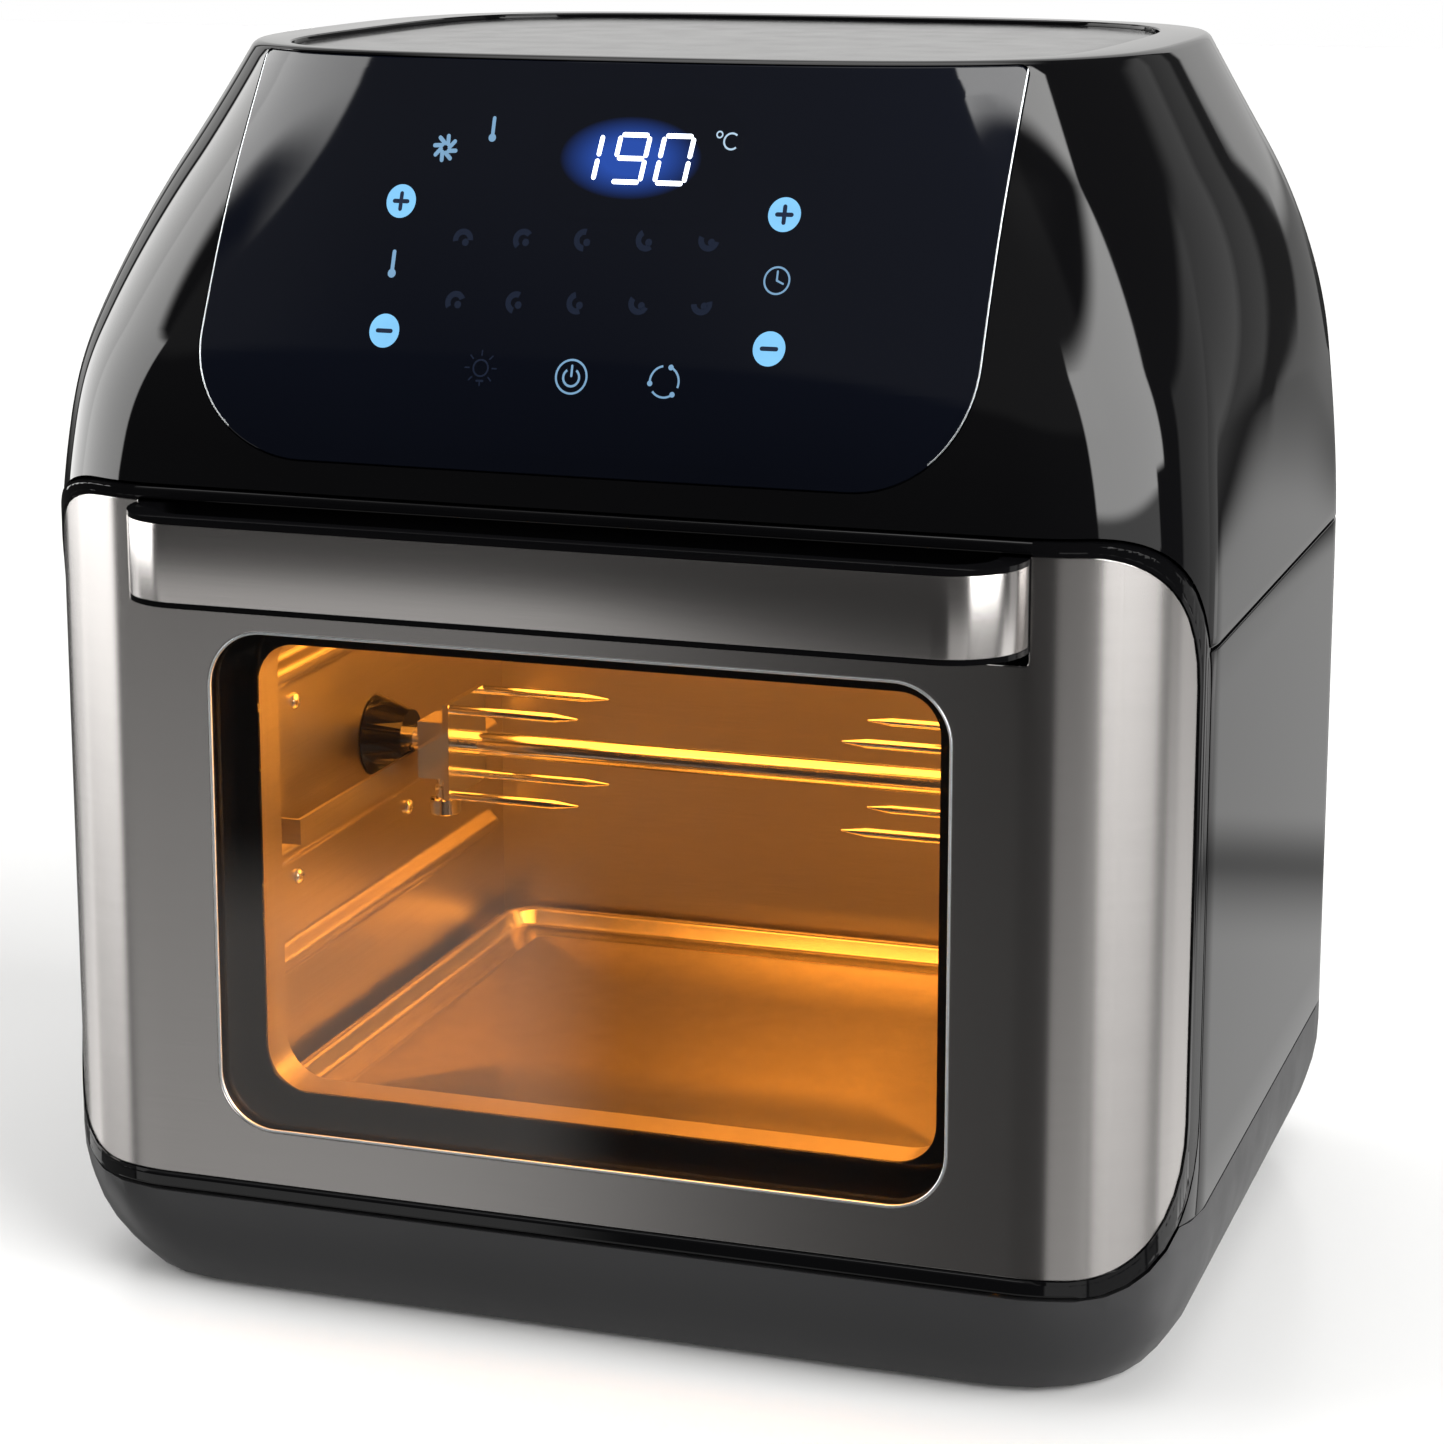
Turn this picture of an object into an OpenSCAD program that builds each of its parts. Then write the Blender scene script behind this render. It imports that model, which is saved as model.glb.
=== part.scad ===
// Air fryer oven with a drop-down glass door, rotisserie spit and touch panel.
// Millimetres. +Z is up, the door faces -Y, and the origin is on the floor at the
// centre of the whole object.

/* [Cabinet] */
// Width across the sides
body_w = 345; // [330:1:360]
// Depth from the door's face to the back of the cabinet
body_d = 273; // [265:1:290]
// Height of the hood's rim above the floor
body_h = 367; // [366:1:370]
// Upright corner radius at the front
corner_front = 45; // [40:1:48]
// Upright corner radius at the back
corner_rear = 39; // [34:1:42]
// Wall of the moulded shells
shell_wall = 2.5; // [2:0.5:3]
// How far the rear vent housing stands out
vent_out = 19; // [15:1:25]

/* [Levels above the floor] */
// Joint between the base and the side shell
base_seam_z = 50.5; // [48:0.5:52]
// Joint between the side shell and the hood
hood_seam_z = 212; // [208:1:216]
// Lower edge of the door's steel skin
skin_bottom_z = 41; // [40:0.5:43]
// Upper edge of the door's steel skin
skin_top_z = 242; // [240:1:244]

/* [Door] */
// Black border round the steel skin
door_border = 5; // [4:0.5:6]
// Corner radius of the steel skin
skin_corner = 39; // [34:1:42]
// Half width of the window
window_half_w = 109.5; // [105:0.5:112]
// Lower edge of the window
window_bottom_z = 57; // [56:0.5:60]
// Upper edge of the window
window_top_z = 206; // [203:0.5:207]
// Corner radius of the window
window_corner = 17; // [12:1:20]
// How far the handle stands out
handle_out = 22; // [18:1:26]
// Half width of the handle
handle_half_w = 130; // [128:1:132]

/* [Oven cavity] */
// Half width of the cavity
cavity_half_w = 118; // [116:1:119]
// Depth of the cavity behind its front flange
cavity_d = 206.5; // [200:0.5:210]
// Level of the cavity floor
floor_z = 49; // [49:0.5:49.5]
// Level of the cavity ceiling
ceiling_z = 233; // [230:1:236]
// Sheet metal
sheet = 1; // [0.8:0.1:1]

/* [Rotisserie and fan] */
// Level of the spit
spit_z = 142; // [141:0.5:143]
// Radius of the spit
spit_r = 4; // [3.5:0.1:4]
// Radius of the convection fan
fan_r = 48; // [40:1:50]
// Running clearance of a shaft in its bore
running = 0.05; // [0.03:0.01:0.08]

/* [Hidden] */
$fn = 64;
TINY = 0.01;
FAR = 400;
GAP = 0.8;            // joint between two shells
half_w = body_w / 2;
front_y = handle_out - (body_d + handle_out + vent_out) / 2;   // the door's face
back_y = front_y + body_d;                                     // the cabinet's back
door_back_y = front_y + 37;
flange_y = door_back_y + 1.5;
cavity_front_y = flange_y + sheet;
cavity_back_y = cavity_front_y + cavity_d;
skin_t = 0.8;
skin_sink = 0.5;                      // the skin lies this far below its border
skin_edge_s = 183;                    // half width of the skin along its curve
frame_edge_s = skin_edge_s + 6.5;
recess_y = front_y + 8;               // bottom of the handle's pocket
notch_z = 212.3;                      // the skin's edge below the handle
handle_z = [217.8, 240];              // the handle's steel cover
handle_rim = 1.5;
handle_t = 8;
handle_r = handle_out - 1;
glass_y = front_y + skin_sink + 0.9;  // front of the outer glass
outer_glass_t = 3.2;
inner_lip_y = front_y + 18;           // black lip round the inner pane
inner_glass_y = inner_lip_y + 1.2;
inner_glass_t = 3;
inner_half_w = 102;
inner_z = [64, 199];
hinge_y = front_y + 8;
hinge_z = skin_bottom_z + 2.5;
hinge_pin_r = 2;
hinge_x = 124.5;                      // middle of a hinge's knuckle
knuckle_half = 4;
knuckle_r = 4;
spit_y = (cavity_front_y + cavity_back_y) / 2 - 5.5;
fan_y = (cavity_front_y + cavity_back_y) / 2;
socket_r = [13, 9];                   // at the wall and at the tip
socket_l = 12;
rail_x = cavity_half_w - 14;          // inner face of the support rails
rail_t = 1.2;
hub_x = [88, 103];
fork_spread = 14;                     // a tine's distance from the spit, each way
tine_l = 45;
thumb_r = 2.5;
screw_r = 2.6;
rib_z = [88, 122.5, 178];             // shelf ribs pressed into the side walls
panel_half_w = 113.5;
panel_bottom_z = 256;
panel_top_z = body_h - 1.4;
panel_corner = 34;
base_bottom_z = 2;
base_curve_r = 60;
base_curve_top = 43;
hood_slices = 11;
ring_points = 56;
plate_half_w = 120;
plate_half_d = 107;
plate_y = 13;

// ---- Outlines -------------------------------------------------------------

// A rectangle with one corner radius, between two corners.
module rounded(low, high, r) {
    union() {
        translate([low[0] + r, low[1]]) square([high[0] - low[0] - 2 * r, high[1] - low[1]]);
        translate([low[0], low[1] + r]) square([high[0] - low[0], high[1] - low[1] - 2 * r]);
        for (x = [low[0] + r, high[0] - r], y = [low[1] + r, high[1] - r]) translate([x, y]) circle(r);
    }
}

// The cabinet seen from above, drawn in by i all round.
module plan(i = 0) {
    f = corner_front - i;
    b = corner_rear - i;
    w = half_w - i;
    union() {
        translate([f - w, front_y + i]) square([2 * (w - f), body_d / 2]);
        translate([b - w, back_y - i - body_d / 2]) square([2 * (w - b), body_d / 2]);
        translate([-w, front_y + i + f]) square([2 * w, body_d - 2 * i - f - b]);
        for (s = [-1, 1]) {
            translate([s * (w - f), front_y + i + f]) circle(f);
            translate([s * (w - b), back_y - i - b]) circle(b);
        }
    }
}

// Straight-on x of a point that lies s from the middle along the curved face.
function wrap(s) = let (start = half_w - corner_front)
    s <= start ? s : start + corner_front * sin((s - start) / corner_front * 180 / PI);

// The door's outline seen straight on. Its corners are round on the curved face.
module face_outline(edge_s, low_z, high_z, r) {
    right = [
        for (t = [0:10:90]) [wrap(edge_s - r + r * sin(t)), low_z + r - r * cos(t)],
        for (t = [90:-10:0]) [wrap(edge_s - r + r * sin(t)), high_z - r + r * cos(t)]
    ];
    polygon(concat(right, [for (i = [len(right) - 1:-1:0]) [-right[i][0], right[i][1]]]));
}
module skin_outline(grow = 0) {
    face_outline(skin_edge_s + grow, skin_bottom_z - grow, skin_top_z + grow, skin_corner + grow);
}
module frame_outline(grow = 0) {
    face_outline(frame_edge_s + grow, skin_bottom_z - door_border - grow, skin_top_z + door_border - 1 + grow,
        skin_corner + door_border + grow);
}
module window_outline(grow = 0) {
    rounded([-window_half_w - grow, window_bottom_z - grow], [window_half_w + grow, window_top_z + grow],
        window_corner + grow);
}
module inner_outline(grow = 0) {
    rounded([-inner_half_w - grow, inner_z[0] - grow], [inner_half_w + grow, inner_z[1] + grow], 12 + grow);
}
module handle_notch(grow = 0) {
    translate([-handle_half_w - grow, notch_z - grow]) square([2 * (handle_half_w + grow), FAR]);
}
module panel_outline(grow = 0) {
    w = panel_half_w + grow;
    r = panel_corner + grow;
    union() {
        translate([r - w, panel_bottom_z - grow]) square([2 * (w - r), 50]);
        translate([-w, panel_bottom_z - grow + r]) square([2 * w, panel_top_z - panel_bottom_z - r + 2 * grow]);
        for (s = [-1, 1]) translate([s * (w - r), panel_bottom_z - grow + r]) circle(r);
    }
}

// Extrudes a straight-on outline from depth y0 to depth y1.
module deep(y0, y1) {
    translate([0, y1, 0]) rotate([90, 0, 0]) linear_extrude(y1 - y0) children();
}
module slab(z0, z1) {
    translate([0, 0, z0]) linear_extrude(z1 - z0) children();
}
module block(low, high) {
    translate(low) cube(high - low);
}
module rod_x(x0, x1, r, y, z) {
    translate([x0, y, z]) rotate([0, 90, 0]) cylinder(h = x1 - x0, r = r);
}
module rod_y(y0, y1, r, x, z) {
    translate([x, y1, z]) rotate([90, 0, 0]) cylinder(h = y1 - y0, r = r);
}
module rod_z(z0, z1, r, x, y) {
    translate([x, y, z0]) cylinder(h = z1 - z0, r = r);
}

// ---- Lofted shells --------------------------------------------------------

// Smooth step from 0 to 1.
function smooth(t) = let (u = min(1, max(0, t))) u * u * (3 - 2 * u);

// Distance from the middle to a rounded rectangle's edge, in the direction a.
function edge_flat(a, w, d, r) = let (c = abs(cos(a)), s = abs(sin(a)),
        cx = w - r, cy = d - r, dot = cx * c + cy * s, disc = dot * dot - cx * cx - cy * cy + r * r)
    c * cy >= s * w ? w / c : s * cx >= c * d ? d / s : dot + sqrt(max(0, disc));

// The same for a superellipse.
function edge_round(a, w, d, n) = pow(pow(abs(cos(a)) / w, n) + pow(abs(sin(a)) / d, n), -1 / n);

// The hood's walls lean in: an arc from a level up, then a straight slope.
// Each has the arc's radius, the level where it starts, and the slope's angle.
SIDE_LEAN = [132, 269.5, 29.5];
FRONT_LEAN = [80, 260, 20.2];
BACK_LEAN = [400, 288, 6];
function lean(z, wall) = let (r = wall[0], h = max(0, z - wall[1]), h1 = r * sin(wall[2]))
    h <= h1 ? r - sqrt(r * r - h * h) : r * (1 - cos(wall[2])) + (h - h1) * tan(wall[2]);
// The corners grow rounder towards the top: where that starts, and over what height.
FRONT_ROUND = [220, 148];
BACK_ROUND = [207, 200];
HOOD_SQUARE = 3.2;

// Direction of a ring's point p. The points crowd together at the corners.
function squeeze(c) = sign(c) * pow(abs(c), 0.45);
function aim(p, w, d) = let (a = 360 * (p + 0.5) / ring_points) atan2(d * squeeze(sin(a)), w * squeeze(cos(a)));

// One ring of the hood at level z, drawn in by i.
function hood_ring(z, i) = let (w = half_w - lean(z, SIDE_LEAN) - i, y0 = front_y + lean(z, FRONT_LEAN) + i,
        y1 = back_y - lean(z, BACK_LEAN) - i, d = (y1 - y0) / 2, m = (y0 + y1) / 2)
    [for (p = [0:ring_points - 1]) let (q = aim(p, w, d), ahead = sin(q) < 0,
        change = ahead ? FRONT_ROUND : BACK_ROUND, k = smooth((z - change[0]) / change[1]),
        r = (1 - k) * edge_flat(q, w, d, (ahead ? corner_front : corner_rear) - i)
            + k * edge_round(q, w, d, HOOD_SQUARE))
        [r * cos(q), m + r * sin(q), z]];

// One ring of the base: it curves in towards the floor.
function base_ring(z, i) = let (h = max(0, base_curve_top - z),
        in = base_curve_r - sqrt(base_curve_r * base_curve_r - h * h) + i, w = half_w - in, d = body_d / 2 - in)
    [for (p = [0:ring_points - 1]) let (q = aim(p, w, d), corner = sin(q) < 0 ? corner_front : corner_rear,
        r = edge_flat(q, w, d, corner - in / 2))
        [r * cos(q), (front_y + back_y) / 2 + r * sin(q), z]];

// Skins a list of rings into one closed solid.
module loft(rings) {
    n = len(rings[0]);
    last = len(rings) - 1;
    points = [for (ring = rings) each ring];
    sides = [for (k = [0:last - 1], p = [0:n - 1]) let (a = k * n + p, b = k * n + (p + 1) % n)
        each [[a, a + n, b], [b, a + n, b + n]]];
    caps = [[for (p = [0:n - 1]) p], [for (p = [n - 1:-1:0]) last * n + p]];
    polyhedron(points, concat(sides, caps), convexity = 4);
}
module hood_solid(i, z0, z1) {
    loft([for (k = [0:hood_slices]) hood_ring(z0 + (z1 - z0) * k / hood_slices, i)]);
}
module base_solid(i, z0, z1) {
    loft([for (k = [0:7]) base_ring(z0 + (z1 - z0) * k / 7, i)]);
}
// The space that the door fills and sweeps.
module door_space(grow = GAP) {
    deep(front_y - FAR, door_back_y + 1.3) frame_outline(grow);
}

// ---- Casing ---------------------------------------------------------------

DECK_Z = 44;
module base_housing() {
    color([0.16, 0.16, 0.17]) difference() {
        base_solid(0, base_bottom_z, base_seam_z - TINY);
        door_space(GAP + 0.5);
        // hollow under the deck, and lower under the door
        intersection() {
            base_solid(3, base_bottom_z - 1, DECK_Z - 3);
            block([-FAR, door_back_y + 4, -1], [FAR, FAR, DECK_Z - 3]);
        }
        intersection() {
            base_solid(3, base_bottom_z - 1, DECK_Z - 3);
            block([-FAR, -FAR, -1], [FAR, door_back_y + 5, skin_bottom_z - door_border - 4]);
        }
        // the deck lies below the rim
        slab(DECK_Z, base_seam_z + 1) intersection() {
            plan(shell_wall + 0.5);
            translate([-FAR, door_back_y]) square([2 * FAR, FAR]);
        }
        // the hinge arms pass over the wall behind the door
        for (s = [-1, 1]) block([s * hinge_x - knuckle_half - 0.5, front_y, hinge_z - 3],
            [s * hinge_x + knuckle_half + 0.5, door_back_y + 4, FAR]);
    }
}
COVER_Z = [3, 5];
module bottom_cover() {
    color("dimgray") difference() {
        slab(COVER_Z[0], COVER_Z[1]) rounded([-152, front_y + 20], [152, back_y - 20], 38);
        // air inlet slots
        for (k = [-5:5]) slab(0, 10) translate([k * 14 - 3, -30]) rounded([0, 0], [6, 60], 2.9);
        for (x = [-130, 130], y = [front_y + 44, back_y - 44]) rod_z(0, 10, 4.05, x, y);
    }
}
module feet() {
    for (x = [-130, 130], y = [front_y + 44, back_y - 44]) color([0.05, 0.05, 0.05]) translate([x, y, 0]) {
        rotate_extrude() polygon([[0, 0], [10, 0], [11, 1], [11, 3], [4, 3], [4, 6], [5, 6.6], [0, 8]]);
    }
}
module side_shell(s) {
    color([0.03, 0.03, 0.035]) slab(base_seam_z + GAP / 2, hood_seam_z - GAP / 2) difference() {
        plan(0);
        plan(shell_wall);
        translate([-FAR, front_y - FAR]) square([2 * FAR, FAR + door_back_y - front_y + 1]);
        translate([-BACK_HALF - 0.3, back_y - 10]) square([2 * BACK_HALF + 0.6, 20]);
        translate([s > 0 ? -FAR : 0, -FAR]) square([FAR, 2 * FAR]);
    }
}
module side_shell_left() { side_shell(-1); }
module side_shell_right() { side_shell(1); }
BACK_HALF = 128;
VENT_HALF = 84;
VENT_Z = [128, 196];
GLAND = [100, 74];                    // x and z of the cord's gland
module back_panel() {
    color([0.1, 0.1, 0.1]) difference() {
        block([-BACK_HALF, back_y - 1.5, base_seam_z + GAP / 2], [BACK_HALF, back_y, hood_seam_z - GAP / 2]);
        deep(back_y - 5, back_y + 5) rounded([-VENT_HALF + 8, VENT_Z[0] + 8], [VENT_HALF - 8, VENT_Z[1] - 8], 6);
        rod_y(back_y - 5, back_y + 5, 8.05, GLAND[0], GLAND[1]);
        for (row = [0:5], s = [-1, 1]) deep(back_y - 5, back_y + 5)
            rounded([s * 45 - 30, 66 + row * 9], [s * 45 + 30, 69.6 + row * 9], 1.7);
        for (p = back_screw_spots) rod_y(back_y - 5, back_y + 5, 1.5, p[0], p[1]);
    }
}
module rear_vent() {
    color([0.06, 0.06, 0.06]) difference() {
        deep(back_y, back_y + vent_out) rounded([-VENT_HALF, VENT_Z[0]], [VENT_HALF, VENT_Z[1]], 10);
        deep(back_y - 1, back_y + vent_out - 2.5) rounded([-VENT_HALF + 2.5, VENT_Z[0] + 2.5],
            [VENT_HALF - 2.5, VENT_Z[1] - 2.5], 7.5);
        for (k = [0:6]) deep(back_y, back_y + vent_out + 1)
            rounded([-VENT_HALF + 12, VENT_Z[0] + 10 + k * 7.4], [VENT_HALF - 12, VENT_Z[0] + 13.6 + k * 7.4], 1.7);
    }
}
module top_outline(grow = 0) {
    w = plate_half_w + grow;
    d = plate_half_d + grow;
    polygon([for (a = [0:6:354]) let (r = edge_round(a, w, d, 4)) [r * cos(a), plate_y + r * sin(a)]]);
}
module upper_hood() {
    color([0.03, 0.03, 0.035]) difference() {
        hood_solid(0, hood_seam_z + GAP / 2, body_h);
        hood_solid(3, hood_seam_z - 1, body_h - 6);
        door_space();
        // the panel's opening, which stays shallow in the rim
        difference() {
            deep(front_y - 10, front_y + 60) panel_outline(0.6);
            hood_solid(3.4, body_h - 7, body_h + 1);
        }
        slab(body_h - 4, body_h + 1) top_outline(0.6);
        slab(body_h - 8, body_h) top_outline(-8);
    }
}
module top_plate() {
    color([0.25, 0.25, 0.26]) slab(body_h - 4 + TINY, body_h - 1.2) top_outline(0);
}
module control_panel() {
    color([0.02, 0.02, 0.07]) intersection() {
        difference() {
            hood_solid(0.1, panel_bottom_z - 4, body_h);
            hood_solid(2.6, panel_bottom_z - 5, body_h + 1);
        }
        deep(front_y - 10, front_y + 60) panel_outline(0);
    }
}
// The circuit board and its parts stand on a slope behind the panel.
BOARD_TILT = 20;
module behind_panel() {
    translate([0, front_y + 25.5, 306]) rotate([-BOARD_TILT, 0, 0]) children();
}
module control_board() {
    color([0.05, 0.3, 0.12]) behind_panel() translate([-85, 0, -42]) cube([170, 1.6, 84]);
}
module display_module() {
    color([0.85, 0.85, 0.85]) behind_panel() translate([-22, -6, 8]) cube([50, 6 - TINY, 20]);
}
module touch_springs() {
    color("goldenrod") behind_panel() {
        for (x = [-68, 62], z = [-22, 16]) translate([x, -TINY, z]) rotate([90, 0, 0]) difference() {
            cylinder(h = 5, r = 4);
            translate([0, 0, -1]) cylinder(h = 7, r = 3);
        }
    }
}

// ---- Oven cavity ----------------------------------------------------------

STEEL = [0.72, 0.71, 0.69];
// A rib pressed inwards: a long bead with a sloping top and bottom.
module rib(s, z, y0, y1) {
    translate([s * cavity_half_w, y1, z]) rotate([90, 0, 0]) linear_extrude(y1 - y0)
        polygon([[0, -4.5], [-s * 4, -1.6], [-s * 4, 1.6], [0, 4.5]]);
}
module side_wall(s) {
    x = s * cavity_half_w;
    union() {
        block([min(x, x + s * sheet), cavity_front_y, floor_z - sheet],
            [max(x, x + s * sheet), cavity_back_y, ceiling_z + sheet]);
        for (z = rib_z) rib(s, z, cavity_front_y + 6, cavity_back_y - 10);
    }
}
module cavity_left_wall() {
    color(STEEL) difference() {
        side_wall(-1);
        rod_x(-cavity_half_w - 5, -cavity_half_w + 1, 5.5, spit_y, spit_z);
        for (p = wall_screw_spots) rod_x(-cavity_half_w - 2, -cavity_half_w + 1, 1.6, p[0], p[1]);
    }
}
LAMP = [70, 206];                     // y and z of the lamp
LAMP_R = 17;
module cavity_right_wall() {
    color(STEEL) difference() {
        side_wall(1);
        rod_x(cavity_half_w - 1, cavity_half_w + 5, LAMP_R, LAMP[0], LAMP[1]);
        for (p = wall_screw_spots) rod_x(cavity_half_w - 1, cavity_half_w + 2, 1.6, p[0], p[1]);
    }
}
module cavity_back_wall() {
    color(STEEL) block([-cavity_half_w, cavity_back_y, floor_z], [cavity_half_w, cavity_back_y + sheet, ceiling_z]);
}
module cavity_floor() {
    color(STEEL) block([-cavity_half_w, cavity_front_y, floor_z - sheet],
        [cavity_half_w, cavity_back_y + sheet, floor_z]);
}
module cavity_ceiling() {
    color(STEEL) difference() {
        block([-cavity_half_w, cavity_front_y, ceiling_z], [cavity_half_w, cavity_back_y + sheet, ceiling_z + sheet]);
        rod_z(ceiling_z - 1, ceiling_z + 5, 6, 0, fan_y);
        rod_z(ceiling_z - 1, ceiling_z + 5, 2.55, 70, cavity_back_y - 30);
        for (x = ELEMENT_LEADS) rod_z(ceiling_z - 1, ceiling_z + 5, 3.25, x, fan_y + 76);
    }
}
module front_flange() {
    color(STEEL) difference() {
        deep(flange_y, cavity_front_y) face_outline(frame_edge_s - 11, DECK_Z + 2.6, skin_top_z + 1, 30);
        block([-cavity_half_w, flange_y - 1, floor_z], [cavity_half_w, flange_y + 5, ceiling_z]);
        block([PLUNGER[0] - 3.2, flange_y - 1, PLUNGER[1] - 3.2], [PLUNGER[0] + 3.2, flange_y + 5, PLUNGER[1] + 3.2]);
    }
}
module door_seal() {
    color([0.12, 0.12, 0.12]) deep(flange_y - 1.1, flange_y) difference() {
        rounded([-cavity_half_w - 6, floor_z + 3], [cavity_half_w + 6, ceiling_z + 5], 10);
        rounded([-cavity_half_w - 1, floor_z + 8], [cavity_half_w + 1, ceiling_z], 6);
    }
}
wall_screw_spots = [[front_y + 77, 167], [front_y + 77, 111.5], [front_y + 162, 111.5], [front_y + 200, 167]];
module cavity_screws() {
    color("silver") for (s = [-1, 1], p = wall_screw_spots)
        translate([s * (cavity_half_w + 3), p[0], p[1]]) rotate([0, -s * 90, 0]) rotate_extrude()
            polygon([[0, 0], [1.5, 0], [1.5, 3 + TINY], [screw_r, 3 + TINY], [screw_r, 3.6], [1.4, 4.6], [0, 4.8]]);
}

// ---- Heating and air ------------------------------------------------------

SHIELD_Z = 246;
module heat_shield() {
    color(STEEL) difference() {
        slab(SHIELD_Z, SHIELD_Z + sheet) rounded([-130, cavity_front_y + 6], [130, cavity_back_y - 4], 10);
        rod_z(SHIELD_Z - 1, SHIELD_Z + 5, 8, 0, fan_y);
        for (x = ELEMENT_LEADS) rod_z(SHIELD_Z - 1, SHIELD_Z + 5, 3.25, x, fan_y + 76);
    }
}
ELEMENT_LEADS = [-14, 14];
ELEMENT_Z = 222;
// Two rings of sheathed tube and the leads that carry them.
module heating_element() {
    color([0.35, 0.33, 0.32]) union() {
        translate([0, fan_y, ELEMENT_Z]) for (r = [58, 76]) rotate_extrude() translate([r, 0]) circle(3.2);
        translate([-14, fan_y + 58, ELEMENT_Z]) rotate([-90, 0, 0]) cylinder(h = 18, r = 3.2);
        translate([14, fan_y + 58, ELEMENT_Z]) rotate([-90, 0, 0]) cylinder(h = 18, r = 3.2);
        for (x = ELEMENT_LEADS) rod_z(ELEMENT_Z, SHIELD_Z + 8, 3.2, x, fan_y + 76);
    }
}
GUARD_Z = 213;
module fan_guard() {
    color(STEEL) translate([0, fan_y, 0]) union() {
        difference() {
            rod_z(GUARD_Z, GUARD_Z + 1, 88, 0, 0);
            rod_z(GUARD_Z - 1, GUARD_Z + 2, 80, 0, 0);
        }
        for (r = [20, 32, 44, 56, 68]) difference() {
            rod_z(GUARD_Z, GUARD_Z + 1, r + 2.5, 0, 0);
            rod_z(GUARD_Z - 1, GUARD_Z + 2, r - 2.5, 0, 0);
        }
        rod_z(GUARD_Z, GUARD_Z + 1, 10, 0, 0);
        for (a = [0:45:135]) rotate(a) block([-81, -3, GUARD_Z], [81, 3, GUARD_Z + 1]);
        for (a = [45:90:315]) rotate(a) block([84, -4, GUARD_Z], [86, 4, ceiling_z]);
    }
}
MOTOR_Z = [268, 300];
SHAFT_R = 3;
SHAFT_Z = [216, 306];
module fan_motor() {
    color([0.4, 0.4, 0.42]) translate([0, fan_y, 0]) difference() {
        union() {
            rod_z(MOTOR_Z[0], MOTOR_Z[1], 26, 0, 0);
            block([-32, -30, MOTOR_Z[0] + 8], [32, 30, MOTOR_Z[1] - 8]);
            block([30, -16, MOTOR_Z[0] + 4], [48, 16, MOTOR_Z[1] - 4]);
        }
        rod_z(0, FAR, SHAFT_R + running, 0, 0);
    }
}
// A strip that carries the motor on the shield, with two legs.
module motor_bracket() {
    color("gainsboro") translate([0, fan_y, 0]) difference() {
        union() {
            block([-66, -12, MOTOR_Z[0] - 1.5], [66, 12, MOTOR_Z[0] - TINY]);
            for (s = [-1, 1]) block([s * 65 - 1, -12, SHIELD_Z + sheet], [s * 65 + 1, 12, MOTOR_Z[0] - 1]);
            for (s = [-1, 1]) block([s * 71 - 7, -12, SHIELD_Z + sheet], [s * 71 + 7, 12, SHIELD_Z + sheet + 1.5]);
        }
        rod_z(MOTOR_Z[0] - 5, MOTOR_Z[0] + 1, 8, 0, 0);
    }
}
module motor_shaft() {
    color("silver") rod_z(SHAFT_Z[0], SHAFT_Z[1], SHAFT_R, 0, fan_y);
}
FAN_Z = [217.5, 229];
module convection_fan() {
    color([0.65, 0.65, 0.67]) translate([0, fan_y, 0]) difference() {
        union() {
            rod_z(FAN_Z[1], FAN_Z[1] + 1, fan_r, 0, 0);
            rod_z(FAN_Z[0] + 4, FAN_Z[1] + 1, 7, 0, 0);
            for (k = [0:9]) rotate(k * 36) translate([22, -0.5, FAN_Z[0]])
                rotate([0, 0, 18]) cube([fan_r - 24, 1, FAN_Z[1] - FAN_Z[0] + 1]);
        }
        rod_z(0, FAR, SHAFT_R, 0, 0);
    }
}
module fan_nut() {
    color("silver") difference() {
        translate([0, fan_y, FAN_Z[0]]) cylinder(h = 4 - TINY, r = 5.5, $fn = 6);
        rod_z(0, FAR, SHAFT_R, 0, fan_y);
    }
}
COOLER_Z = [252, 262];
module cooling_fan() {
    color([0.75, 0.75, 0.77]) translate([0, fan_y, 0]) difference() {
        union() {
            rod_z(COOLER_Z[0], COOLER_Z[0] + 1, 38, 0, 0);
            rod_z(COOLER_Z[0], COOLER_Z[1], 6, 0, 0);
            for (k = [0:7]) rotate(k * 45) translate([12, -0.5, COOLER_Z[0]])
                rotate([0, 0, -20]) cube([22, 1, COOLER_Z[1] - COOLER_Z[0]]);
        }
        rod_z(0, FAR, SHAFT_R, 0, 0);
    }
}

// ---- Lamp, sensors and electrics ------------------------------------------

module lamp_holder() {
    color("white") difference() {
        union() {
            rod_x(cavity_half_w + sheet, cavity_half_w + sheet + 2, LAMP_R + 5, LAMP[0], LAMP[1]);
            rod_x(cavity_half_w + sheet, cavity_half_w + 30, LAMP_R, LAMP[0], LAMP[1]);
        }
        rod_x(cavity_half_w, cavity_half_w + 26, LAMP_R - 2, LAMP[0], LAMP[1]);
    }
}
module oven_lamp() {
    color([1, 0.9, 0.6]) translate([cavity_half_w + 26, LAMP[0], LAMP[1]]) rotate([0, -90, 0]) rotate_extrude()
        polygon([[0, 0], [7, 0], [7, 6], [9.5, 12], [9.5, 15], [6, 19.5], [0, 21]]);
}
module lamp_lens() {
    color([1, 0.95, 0.85, 0.5]) translate([cavity_half_w, LAMP[0], LAMP[1]]) rotate([0, -90, 0]) rotate_extrude()
        polygon([[0, -1], [LAMP_R - TINY, -1], [LAMP_R - TINY, 0], [LAMP_R + 2, TINY], [LAMP_R + 2, 1.4], [12, 4.2],
            [0, 5]]);
}
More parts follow.
